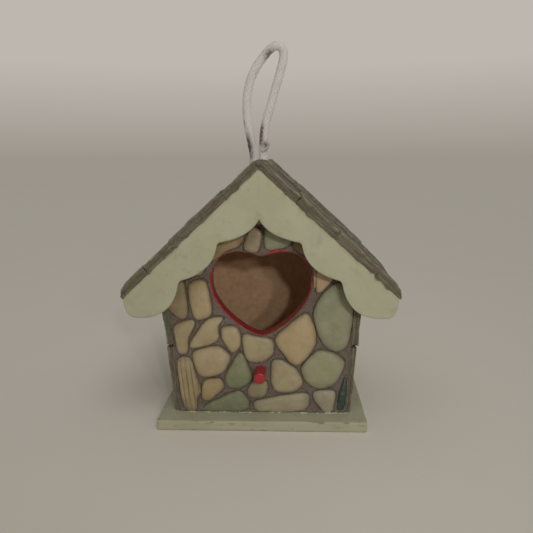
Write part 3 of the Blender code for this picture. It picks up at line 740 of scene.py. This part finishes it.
class BIRDHOUSE_OT_pebbles(bpy.types.Operator):
    """Make the domed pebbles of the front"""
    bl_idname = "birdhouse.pebbles"
    bl_label = "Front Pebbles"

    def execute(self, context):
        for number, name in enumerate(PEBBLE_COLOURS):
            mesh = pebble_mesh(name, pebble_ring(name), edges_of("pebble_" + name)[0][1], number)
            finish = river_pebble("river_pebble_" + name, *PEBBLE_COLOURS[name], 0.37 * number)
            add_piece("stone_" + name, mesh, finish, replaces=["pebble_" + name])
        sliver = np.array([26.9 + 73.5j, 28.0 + 74.2j, 28.4 + 79j, 28.0 + 85j, 27.0 + 86j, 26.8 + 80j])
        mesh = pebble_mesh("sliver", even_ring(sliver, 64, 0.2), MORTAR_FRONT - 1.0, 77)
        add_piece("stone_pink_sliver", mesh, river_pebble("river_pebble_pink_sliver", "BC9C82", "A5846A", 9.1))
        return {"FINISHED"}


def pebble_ring(name):
    """A pebble's widest outline: its seat's, grown by PEBBLE_OVERHANG and a ripple, and moved down at the foot."""
    points = corners("pebble_" + name)
    seat = points[points[:, 1] > points[:, 1].max() - 0.01]
    ring = even_ring(by_angle(seat[:, [0, 2]]), 112, 0.45)
    spots = np.stack([ring.real, ring.imag, 0 * ring.real], -1)
    corner = np.clip((-ring.real - 41) / 3, 0, 1) * np.clip((ring.imag - 60) / 4, 0, 1)
    foot = np.clip((BASE_TOP + 5 - ring.imag) / 4, 0, 1)
    return ring + outward(ring) * (PEBBLE_OVERHANG + 1.7 * corner + 0.26 * ripple(spots, 5, 8, 2)) - 1.6j * foot


def pebble_mesh(name, ring, crown, number):
    """A pebble: the outline times cos(a)^(2/n) and its height times sin(a)^(2/n), a superellipse dome with n near 3.

    The dome starts under the mortar's face. Ripple noise dents it, and it tips a little to one side. The
    ridged stone has narrow grooves, (1 - |sin|)^4, along its length. The rim mark is 1 round the foot and fades
    up the dome; it also follows the grooves, and the finish darkens it as grime and painted shade.
    """
    middle = ring.mean()
    chance = np.random.default_rng(number)
    power = chance.uniform(2.3, 2.9)
    tip = chance.uniform(-0.035, 0.035, 2)
    angle = np.linspace(0, np.pi / 2, 30)[:-1]
    shares = np.r_[0.05, 0.6, 0.94, np.cos(angle) ** (2 / power), 0.02]
    lifts = np.r_[0, 0, 0, np.sin(angle) ** (2 / power), 1.0]
    edge_y = MORTAR_FRONT - 0.1
    seat_y = MORTAR_FRONT + 1.3
    base = np.r_[np.full(3, seat_y), np.full(30, edge_y)]
    flat = middle + (ring - middle) * shares[:, None]
    spots = np.stack([flat.real, flat.imag, np.broadcast_to(lifts[:, None] * 3, flat.shape)], -1)
    dents = size("stone_relief") * (ripple(spots, 8.5, number + 40) + 0.22 * ripple(spots, 2.2, number + 60))
    tilt = tip[0] * (flat - middle).real + tip[1] * (flat - middle).imag
    out = (edge_y - crown) * lifts[:, None] + (dents + tilt) * np.minimum(1, 1.6 * lifts[:, None])
    flat = flat + (ring - middle) * (0.02 * lattice(spots, 6, number + 80) * (shares * (shares < 1))[:, None])
    # rim: grime and painted shade at the pebble's foot, 1 at the mortar and fading up the dome
    rim = np.clip(1.25 - 1.5 * np.broadcast_to(lifts[:, None], flat.shape), 0, 1)
    if name.endswith("ridged"):
        away = flat - middle
        axis = np.exp(0.5j * np.angle((away[5] ** 2).sum()))
        across = (away / axis).imag + 0.35 * lattice(spots * (1, 0.25, 0), 7, 5)
        groove = (1 - abs(np.sin(np.pi * across / 2.6))) ** 4 * np.minimum(1, 2 * lifts[:, None])
        out = out - 0.8 * groove
        # The grooves join the rim mark, so they are darkened as painted shade
        rim = np.maximum(rim, groove)
    rows = np.stack([flat.real, base[:, None] - out, np.maximum(flat.imag, BASE_TOP + 0.03)], -1)
    return make_mesh(name, rows, marks={"rim": rim})


class BIRDHOUSE_OT_mortar(bpy.types.Operator):
    """Make the mortar bed of the front and the mortar along the ridge"""
    bl_idname = "birdhouse.mortar"
    bl_label = "Mortar"

    def execute(self, context):
        finish = sand_mortar("sanded_mortar", colours())
        add_piece("front_mortar_bed", front_mortar_mesh(), finish, replaces=["front_mortar"])
        for name in ("ridge_mortar_front", "ridge_mortar_rear"):
            low, high = edges_of(name)
            depth = np.linspace(low[1], high[1], 150)
            half = high[0] + 0.25
            t = np.linspace(0, 1, 22)
            x = np.r_[0, half * (2 * t - 1)][None] + 0 * depth[:, None]
            crown = np.r_[0, np.sin(np.pi * t)][None]
            z = np.r_[low[2] + 0.3, np.full(22, high[2] - 0.15)][None] + 0.75 * crown
            spots = np.stack(np.broadcast_arrays(x, depth[:, None], z), -1)
            swell = ripple(spots, 6, 21) * 0.55 + 0.22 * ripple(spots, 1.6, 25)
            ends = np.clip(np.minimum(depth - low[1], high[1] - depth) / 1.2, 0, 1)[:, None] ** 0.5
            z = low[2] + 0.2 + (z + swell * np.minimum(1, crown * 3 + 0.2) - low[2] - 0.2) * (0.75 + 0.25 * ends)
            rows = np.stack(np.broadcast_arrays(x * (0.8 + 0.2 * ends), depth[:, None], z), -1)
            add_piece(name + "_bead", make_mesh(name, rows), finish, replaces=[name])
        return {"FINISHED"}


def front_mortar_mesh():
    """The mortar bed: a grid between the door's outline and the wall's, closed behind.

    On each ray from the door's middle the points go from the heart to the wall's edge. The face stands out by
    noise, and sinks by exp(-(g / 0.5)^2) near a stone, where g is the ray distance past the stone's outline. It
    spreads on to the base by exp(-(h / 1.7)^2) at the height h.
    """
    wall_ring = even_ring(by_angle(corners("back_wall")[:, [0, 2]]), 600, 0.5)
    wall_ring = wall_ring + 0.7 * outward(wall_ring) * (abs(outward(wall_ring).real) > 0.9)
    order = np.argsort(np.angle(wall_ring - DOOR_MIDDLE))
    outer = wall_ring[order]
    heart = heart_ring(720)
    turn = np.angle(heart - DOOR_MIDDLE)
    inner = DOOR_MIDDLE + np.exp(1j * np.angle(outer - DOOR_MIDDLE)) * np.interp(
        np.angle(outer - DOOR_MIDDLE), np.sort(turn), abs(heart - DOOR_MIDDLE)[np.argsort(turn)], period=2 * np.pi)
    share = np.r_[0, 0.004, np.linspace(0.012, 0.988, 150), 0.996, 1]
    flat = inner + (outer - inner) * share[:, None]
    gap = np.full(flat.shape, 9.0)
    for name in PEBBLE_COLOURS:
        ring = pebble_ring(name)
        away, around = flat - ring.mean(), ring - ring.mean()
        sort = np.argsort(np.angle(around))
        reach = np.interp(np.angle(away), np.angle(around)[sort], abs(around)[sort], period=2 * np.pi)
        gap = np.minimum(gap, abs(abs(away) - reach))
    spots = np.stack([flat.real, flat.imag, 0 * gap], -1)
    rise = size("mortar_relief") * (ripple(spots, 4.2, 11) + 0.45 * ripple(spots, 1.3, 17) - 0.6)
    rise = rise + 0.15 - 0.5 * np.exp(-(gap / 0.5) ** 2)
    rim = np.minimum(share, 1 - share)[:, None] * abs(outer - inner)
    rise = rise - 0.6 * np.exp(-(rim / 0.5) ** 2) + 2.0 * np.exp(-((flat.imag - BASE_TOP) / 1.7) ** 2)
    rows = np.stack([flat.real, MORTAR_FRONT - rise, flat.imag], -1)
    back = [np.stack([line.real, np.full(len(line), y), line.imag], -1)
            for line, y in ((inner, MORTAR_BACK), (inner, MORTAR_BACK - 1.2), (outer, MORTAR_BACK - 1.2),
                            (outer, MORTAR_BACK))]
    return make_mesh("front_mortar_bed", np.concatenate([back[:2], rows, back[2:]]), loop=True)


class BIRDHOUSE_OT_red_parts(bpy.types.Operator):
    """Make the painted door edge and the dowel perch"""
    bl_idname = "birdhouse.red_parts"
    bl_label = "Red Parts"

    def execute(self, context):
        finish = red_enamel("brushed_red_enamel", colours())
        ring = heart_ring(420)
        out = outward(ring)
        x, z = ring.real, ring.imag
        spots = np.stack([x, z, 0 * x], -1)
        # The paint laps on to the mortar, most at the tip and left, and in a smear over the right lobe
        lap = 0.2 + 0.3 * ripple(spots, 5, 31) + 0.25 * (x < -12) + 1.2 * np.exp(-((x - 8) / 4.5) ** 2) * (z > 85)
        lap = np.clip(lap - 1.2 * (z > 84) * (x < 1), 0.05, 1.7)
        proud = np.clip(0.25 + 0.2 * ripple(spots, 3, 35) - 0.9 * (z > 84) * (x < 1), -0.4, 0.8)
        front = MORTAR_FRONT + 0.35
        hidden = 0.9 * np.clip((z - 82) / 4, 0, 1) * np.clip((2 - x) / 3, 0, 1)
        hidden = np.maximum(hidden, 0.9 * (z > 80) * np.exp(-((x - 18.5) / 4) ** 4))
        profile = [(0.05, DOOR_BACK + 0.1), (-0.25, DOOR_BACK + 0.1), (-0.28, -33.0), (-0.28, front + 0.4),
                   (-0.3, front), (-0.1, front - 0.6 * proud), (0.35 * lap, front - proud),
                   (0.8 * lap, front - 0.8 * proud),
                   (lap, front - 0.2 * proud), (lap, front + 0.6), (0.05, front + 0.8)]
        rows = [np.stack([(ring + out * away).real, y + hidden * (y < front + 0.5), (ring + out * away).imag], -1)
                for away, y in profile]
        mesh = make_mesh("door_edge_paint", np.stack(rows, 1), loop=True)
        add_piece("door_edge_paint", mesh, finish)
        low, high = edges_of("perch")
        centre, radius = (low + high) / 2, (high[0] - low[0]) / 2
        turn = np.linspace(0, 1, 8)[:-1]
        reach = radius - np.r_[0.7 * (1 - np.sqrt(1 - (1 - turn) ** 2)), np.zeros(41)]
        y = np.r_[low[1] + 0.7 * turn, np.linspace(low[1] + 0.7, high[1], 41)]
        path = np.stack([np.full(48, centre[0]), y, np.full(48, centre[2])], -1)

        def lumps(angle):
            """Brushed enamel's unevenness round the dowel."""
            return 0.06 * ripple(np.stack(np.broadcast_arrays(3 * np.cos(angle), 3 * np.sin(angle), y[:, None]), -1),
                                 2.5, 41)

        across = np.broadcast_to((1.0, 0.0, 0.0), path.shape)
        add_piece("perch_dowel", make_mesh("perch_dowel", tube(path, reach, across, 56, lumps), sharp=50), finish,
                  replaces=["perch"])
        return {"FINISHED"}


class BIRDHOUSE_OT_boards(bpy.types.Operator):
    """Make the base, back wall and fascia, and paint the boards that stay as they are"""
    bl_idname = "birdhouse.boards"
    bl_label = "Boards"

    def execute(self, context):
        # Painted light: the bare wood inside comes in two tones, brightened on the walls and roof boards to lift the
        # shade in the box, and dimmed on the back board and base where the lamps' patch falls.
        brightened_wood, dimmed_wood = (colours().bare_wood, linear("E6BC86")), (linear("D6B28C"), linear("C29E79"))
        brushed = chalk_paint("brushed_chalk_paint", colours(), dimmed_wood)
        plain = chalk_paint("chalk_paint_on_box", colours(), brightened_wood, lay=False)
        # The base: rubbed edges from handling, and an even painted shade darkening the whole base.
        worn_and_shaded = chalk_paint("worn_and_shaded_chalk_paint", colours(), dimmed_wood, worn=0.7, painted_shade=0.1)
        for name in ("front_wall", "left_wall", "right_wall", "left_roof_board", "right_roof_board"):
            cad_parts[name].data.materials.clear()
            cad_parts[name].data.materials.append(plain)
        rounding = size("edge_rounding")
        low, high = edges_of("base_board")
        plan = np.array([low[0] + 1j * low[1], high[0] + 1j * low[1], high[0] + 1j * high[1], low[0] + 1j * high[1]])
        x, y, z, edge = board_rows(even_ring(plan, 520, 0.9), low[2], high[2], rounding, 51)
        rows = np.stack([x, y, np.maximum(z, 0.0)], -1)
        add_piece("base_board_painted", make_mesh("base", rows, marks={"edge": edge, "lay": rows * MM}), worn_and_shaded,
                  replaces=["base_board"])
        low, high = edges_of("back_wall")
        ring = even_ring(by_angle(corners("back_wall")[:, [0, 2]]), 480, 0.6)
        x, z, y, edge = board_rows(ring, low[1], high[1], rounding, 52)
        rows = np.stack([x, y, z], -1)
        add_piece("back_wall_painted", make_mesh("back", rows, marks={"edge": edge, "lay": rows * MM}), brushed,
                  replaces=["back_wall"])
        add_piece("fascia_painted", fascia_mesh(rounding), brushed, replaces=["front_fascia"])
        return {"FINISHED"}


def fascia_mesh(rounding):
    """The gable board: at each share of its length a closed section between the wavy lower edge and the slope.

    The lower edge is quadratic arcs (1-t)^2 a + 2t(1-t) b + t^2 c. The section goes up the front, over, down
    the back and under, with quarter circles at its four corners.
    """
    low, high = edges_of("front_fascia")
    t = np.linspace(0, 1, 60)[:, None]
    arcs = [(1 - t) ** 2 * np.array(a) + 2 * t * (1 - t) * np.array(b) + t ** 2 * np.array(c) for a, b, c in WAVE]
    lower = np.vstack(arcs)
    steps = along_path(lower)
    share = np.linspace(0, 0.9985, 260)
    lower = np.column_stack([np.interp(share * steps[-1], steps, lower[:, i]) for i in (0, 1)])
    blur = np.exp(-np.linspace(-2, 2, 7) ** 2)
    soft = np.vstack([lower[:3], np.column_stack([np.convolve(lower[:, i], blur / blur.sum(), "valid")
                                                  for i in (0, 1)]), lower[-3:]])
    apex, tip = np.array([0.0, RIDGE_Z]), np.array(WAVE[-1][2], float)
    upper = apex + (tip - apex) * share[:, None]
    lower = np.vstack([(soft * (-1, 1))[:0:-1], soft])
    upper = np.vstack([(upper * (-1, 1))[:0:-1], upper])
    height = np.linalg.norm(upper - lower, axis=1)[:, None]
    up = (upper - lower) / height
    easing = np.minimum(rounding, 0.45 * height)
    # The section: a share of the height and how many roundings to stand off that end, with the depth of each point
    face = np.linspace(0, 1, 26)[1:-1]
    front, back = low[1], high[1]
    quarter = np.linspace(0, np.pi / 2, 6)
    corner_in, corner_up = 1 - np.cos(quarter), 1 - np.sin(quarter)
    section = ([(0, u, front + rounding * i) for u, i in zip(corner_in, corner_up)]
               + [(s, 1 - s, front) for s in face]
               + [(1, -u, front + rounding * i) for u, i in zip(corner_in[::-1], corner_up[::-1])]
               + [(1, -u, back - rounding * i) for u, i in zip(corner_in, corner_up)]
               + [(s, 1 - s, back) for s in face[::-1]]
               + [(0, u, back - rounding * i) for u, i in zip(corner_in[::-1], corner_up[::-1])])
    part, stand, depth = (np.array(column, float) for column in zip(*section))
    along = part * height
    offset = np.where((part > 0) & (part < 1), (1 - 2 * part) * easing, stand * easing)
    where = lower[:, None] + up[:, None] * (along + offset)[..., None]
    spots = np.stack([where[..., 0], np.broadcast_to(depth, where.shape[:2]), where[..., 1]], -1)
    on_front = (part > 0) & (part < 1)
    rows = spots.copy()
    rows[..., 1] += 0.12 * ripple(spots, 22, 61) * on_front
    rows[..., 2] += 0.10 * ripple(spots, 6, 63)
    edge = np.broadcast_to(np.where(on_front, np.exp(-np.minimum(part, 1 - part) * 40), 1.0), where.shape[:2])
    side = np.sign(rows[..., 0])
    lay = np.stack([abs(rows[..., 0]) * math.cos(SLOPE) - rows[..., 2] * math.sin(SLOPE),
                    abs(rows[..., 0]) * math.sin(SLOPE) + rows[..., 2] * math.cos(SLOPE), rows[..., 1] + 90 * side], -1)
    return make_mesh("fascia", rows, marks={"edge": edge, "lay": lay * MM})


def stone_piece(name, face, side, run, depth, floor, top, seed, replaces, slot, wobble, thin=None):
    """One flat stone on a sloping face, filling a run and a depth with an uneven outline.

    It is laid out overlapping the courses above and below, and breaking its edge takes most of that away again,
    so a thin joint shows. Only an eave stone has thin, and it reaches less far past the eave.
    """
    run = (run[0] - COURSE_OVERLAP, run[1] + (EAVE_OVERLAP if thin else COURSE_OVERLAP))
    depth = (depth[0] - 0.2, depth[1] + 0.2)
    box = np.array([run[0] + 1j * depth[0], run[1] + 1j * depth[0], run[1] + 1j * depth[1], run[0] + 1j * depth[1]])
    ring = even_ring(box, 200, 0.4)
    spots = np.stack([ring.real, ring.imag, 0 * ring.real], -1)
    ring = ring - outward(ring) * (wobble * (0.6 + 0.6 * ripple(spots, 9, seed, 3)) + 0.1)
    along, across, rise, arris, edge = flat_stone(ring, floor, top, seed, thin=thin)
    if slot == "roof_stone":
        # The front stones' undersides hang raggedly over the fascia, in front of its face
        low, lip = rise < floor + 0.5, np.clip((FASCIA_FRONT - 0.1 - across) / 0.5, 0, 1)
        ragged = np.clip(ripple(np.stack([along, 0 * along, 0 * along], -1), 3.5, seed + 15), 0, 1)
        rise = rise - low * lip * (0.15 + 1.0 * ragged)
    lay = np.stack([along, across, rise], -1) + seed * 13.0
    mesh = make_mesh(name, on_face(face, side, along, across, rise), sharp=50,
                     marks={"arris": arris, "split": edge, "lay": lay * MM})
    body, patch = SLATE_COLOURS[(seed * 5) % len(SLATE_COLOURS)]
    finish = split_slate("split_stone_" + name, body, patch, 0.11 * seed)
    return add_piece(name, mesh, finish, replaces=replaces)


class BIRDHOUSE_OT_roof_stones(bpy.types.Operator):
    """Lay the split stones of the roof, three to a course"""
    bl_idname = "birdhouse.roof_stones"
    bl_label = "Roof Stones"

    def execute(self, context):
        seed = 0
        for side_name, side in (("left", -1), ("right", 1)):
            for course in ("ridge", "upper", "lower", "eave"):
                node_name = f"roof_stones_{side_name}_{course}"
                points = corners(node_name)
                run, rise = off_face(ROOF_FACE, side, points)
                ends = (ROOF_ENDS[0], *ROOF_BREAKS[side_name, course], ROOF_ENDS[1])
                for place, depth in zip(("front", "middle", "rear"), zip(ends, ends[1:])):
                    seed += 1
                    there = (points[:, 1] > depth[0] + 1) & (points[:, 1] < depth[1] - 1)
                    top = rise[there].max()
                    thin = None
                    if course == "eave":
                        thin = lambda at, end=run.max(): np.interp(at, [end - 7, end - 2.8, end - 0.6], [1, 0.78, 0.3])
                    near = (depth[0] + STONE_GAP, depth[1] - STONE_GAP)
                    stone = stone_piece(f"roof_stone_{side_name}_{course}_{place}", ROOF_FACE, side,
                                        (run.min(), run.max()), near, 0.05, top, seed, [node_name],
                                        "roof_stone", ROOF_WOBBLE, thin)
                    if course == "ridge" and place == "middle":
                        turn = np.linspace(0, 2 * np.pi, 64, endpoint=False)
                        drill(stone, sum(LEG_X) / 2 + 6.0 * np.cos(turn) + 3.5j * np.sin(turn), 100, 160)
        return {"FINISHED"}


class BIRDHOUSE_OT_side_stones(bpy.types.Operator):
    """Lay the two rows of split stones on each side"""
    bl_idname = "birdhouse.side_stones"
    bl_label = "Side Stones"

    def execute(self, context):
        seed = 40
        for side_name, side in (("left", -1), ("right", 1)):
            for row in ("lower", "upper"):
                node_name = f"side_slabs_{side_name}_{row}"
                points = corners(node_name)
                run, rise = off_face(SIDE_FACE, side, points)
                ends = (SIDE_ENDS[0], SIDE_BREAKS[row], SIDE_ENDS[1])
                for place, depth in zip(("front", "rear"), zip(ends, ends[1:])):
                    seed += 1
                    there = (points[:, 1] > depth[0] + 1) & (points[:, 1] < depth[1] - 1)
                    near = (depth[0] + STONE_GAP, depth[1] - STONE_GAP)
                    stone_piece(f"side_stone_{side_name}_{row}_{place}", SIDE_FACE, side, (run.min(), run.max()),
                                near, 0.05, rise[there].max(), seed, [node_name], "side_stone", SIDE_WOBBLE)
        return {"FINISHED"}


class BIRDHOUSE_OT_glue(bpy.types.Operator):
    """Make the bits of white filler along the foot of the front and at the right eave"""
    bl_idname = "birdhouse.glue"
    bl_label = "Filler Bits"

    def execute(self, context):
        finish = white_glue("dried_white_filler")
        for name, start, stop, seed, most in FILLERS:
            x = np.linspace(start, stop, 160)
            path = np.stack([x, MORTAR_FRONT - 1.6 + 0.5 * lattice(np.stack([x, x, x], -1), 2.0, seed),
                             np.full(160, BASE_TOP + 0.1)], -1)
            spots = np.stack([x, 0 * x, 0 * x], -1)
            reach = np.clip(most * (0.05 + ripple(spots, 1.9, seed)), 0.04, most)
            across = np.broadcast_to((0.0, 1.0, 0.0), path.shape)
            rows = tube(path, reach, across, 20)
            add_piece(name, make_mesh(name, rows), finish)
        x = np.linspace(49, 60, 140)
        spots = np.stack([x, 0 * x, 0 * x], -1)
        path = np.stack([x, np.full(140, FASCIA_FRONT + 0.05), RIDGE_Z - 0.4 - math.tan(SLOPE) * x
                         + 0.4 * ripple(spots, 2.0, 75)], -1)
        reach = np.clip(0.12 + 0.75 * ripple(spots, 1.7, 74), 0.04, 0.75)
        rows = tube(path, reach, np.broadcast_to((0.0, 1.0, 0.0), path.shape), 20)
        add_piece("filler_eave_right", make_mesh("filler_eave_right", rows), finish)
        return {"FINISHED"}


class BIRDHOUSE_OT_stage(bpy.types.Operator):
    """Set up the camera, pale floor and soft lights"""
    bl_idname = "birdhouse.stage"
    bl_label = "Camera and Stage"

    def execute(self, context):
        scene = context.scene
        scene.view_settings.view_transform = "Standard"
        camera = bpy.data.objects.new("camera", bpy.data.cameras.new("camera"))
        camera.data.lens = camera.data.sensor_width = 36
        yaw, pitch, roll = (math.radians(a) for a in CAMERA_TURN)
        ahead = Vector((math.sin(yaw) * math.cos(pitch), math.cos(yaw) * math.cos(pitch), -math.sin(pitch)))
        level = Vector((math.cos(yaw), -math.sin(yaw), 0))
        down = ahead.cross(level)
        right = math.cos(roll) * level + math.sin(roll) * down
        up = math.sin(roll) * level - math.cos(roll) * down
        place = Vector(CAMERA_PLACE) * MM
        camera.matrix_world = Matrix.Translation(place) @ Matrix((right, up, -ahead)).transposed().to_4x4()
        scene.collection.objects.link(camera)
        scene.camera = camera
        # A round floor, drawn as rings that are close together under the house
        turn = np.linspace(0, 2 * np.pi, 96, endpoint=False)
        reach = np.array([50, 200, 600, 1500, 3000.0])[:, None]
        rings = np.stack([reach * np.cos(turn), reach * np.sin(turn), 0 * reach * turn - 0.05], -1)
        under = rings[::-1] - (0, 0, 5)
        floor = bpy.data.objects.new("floor", make_mesh("floor", np.concatenate([rings, under]), sharp=40))
        scene.collection.objects.link(floor)
        matt, tree, shader = new_finish("matt_white_table", 0.9, 1.2)
        layered(tree, shader, linear("EDE7DA"), (patches(tree, place_of(tree), 60, 0.4, 0.6), linear("EAE3D6"), 0.3))
        floor.data.materials.append(matt)
        # The camera sees a pale gradient from the floor's own tone at the horizon; the light is an even white
        world = bpy.data.worlds.new("pale_room")
        world.use_nodes = True
        tree = world.node_tree
        room = tree.nodes["Background"]
        room.inputs[0].default_value, room.inputs[1].default_value = linear("F6F3F0"), ROOM_LIGHT
        height = node(tree, "ShaderNodeSeparateXYZ", {0: node(tree, "ShaderNodeTexCoord").outputs["Generated"]})
        rising = node(tree, "ShaderNodeMapRange", {0: height.outputs[2], 1: 0.0, 2: 0.16})
        shade = node(tree, "ShaderNodeMix", {0: rising.outputs[0], 6: linear("9B958B"), 7: linear("BEB7B0")},
                     data_type="RGBA")
        seen = node(tree, "ShaderNodeBackground", {0: shade.outputs[2]})
        choice = node(tree, "ShaderNodeMixShader", {0: node(tree, "ShaderNodeLightPath").outputs["Is Camera Ray"],
                                                    1: room.outputs[0], 2: seen.outputs[0]})
        tree.links.new(choice.outputs[0], tree.nodes["World Output"].inputs[0])
        scene.world = world
        for number, (azimuth, height, watts) in enumerate(LAMPS):
            lamp = bpy.data.objects.new(f"lamp_{number}", bpy.data.lights.new(f"lamp_{number}", "SPOT"))
            lamp.data.spot_size, lamp.data.spot_blend = math.radians(LAMP_CONE), 1.0
            lamp.data.shadow_soft_size, lamp.data.energy = LAMP_RADIUS * MM, watts
            lamp.data.color = linear("FFFDFA")[:3]
            lamp.location = (Vector((0, -50, DOOR_MIDDLE.imag)) + toward(azimuth, height) * LAMP_DISTANCE) * MM
            away = lamp.location - Vector(LAMP_AIM) * MM
            lamp.rotation_euler = away.to_track_quat("Z", "Y").to_euler()
            scene.collection.objects.link(lamp)
        azimuth, height, softness, strength = TOP_LIGHT
        top = bpy.data.objects.new("soft_light_above", bpy.data.lights.new("soft_light_above", "SUN"))
        top.data.angle, top.data.energy = math.radians(softness), strength
        top.rotation_euler = toward(azimuth, height).to_track_quat("Z", "Y").to_euler()
        scene.collection.objects.link(top)
        return {"FINISHED"}


def toward(azimuth, height):
    """Unit vector from the house to a light, by its degrees to the right of the front and degrees up."""
    a, e = math.radians(azimuth), math.radians(height)
    return Vector((math.sin(a) * math.cos(e), -math.cos(a) * math.cos(e), math.sin(e)))


OPERATORS = (BIRDHOUSE_OT_stage, BIRDHOUSE_OT_cord, BIRDHOUSE_OT_boards, BIRDHOUSE_OT_mortar, BIRDHOUSE_OT_pebbles,
             BIRDHOUSE_OT_red_parts, BIRDHOUSE_OT_roof_stones, BIRDHOUSE_OT_side_stones, BIRDHOUSE_OT_glue)


class BIRDHOUSE_PT_panel(bpy.types.Panel):
    """The birdhouse's steps and settings in the sidebar"""
    bl_idname = "BIRDHOUSE_PT_panel"
    bl_label = "Birdhouse"
    bl_space_type = "VIEW_3D"
    bl_region_type = "UI"
    bl_category = "Birdhouse"

    def draw(self, context):
        for settings in (context.scene.birdhouse_sizes, context.scene.birdhouse_colours):
            for key in settings.__annotations__:
                self.layout.prop(settings, key)
        for operator in OPERATORS:
            self.layout.operator(operator.bl_idname)


CLASSES = (BirdhouseColours, BirdhouseSizes, *OPERATORS, BIRDHOUSE_PT_panel)


def register():
    """Add the classes and the scene's settings."""
    for cls in CLASSES:
        bpy.utils.register_class(cls)
    bpy.types.Scene.birdhouse_colours = bpy.props.PointerProperty(type=BirdhouseColours)
    bpy.types.Scene.birdhouse_sizes = bpy.props.PointerProperty(type=BirdhouseSizes)


def unregister():
    """Take them away again."""
    del bpy.types.Scene.birdhouse_sizes, bpy.types.Scene.birdhouse_colours
    for cls in reversed(CLASSES):
        bpy.utils.unregister_class(cls)


def main():
    """Register the classes and make every piece."""
    register()
    for operator in OPERATORS:
        group, verb = operator.bl_idname.split(".")
        getattr(getattr(bpy.ops, group), verb)()


if __name__ == "__main__":
    main()
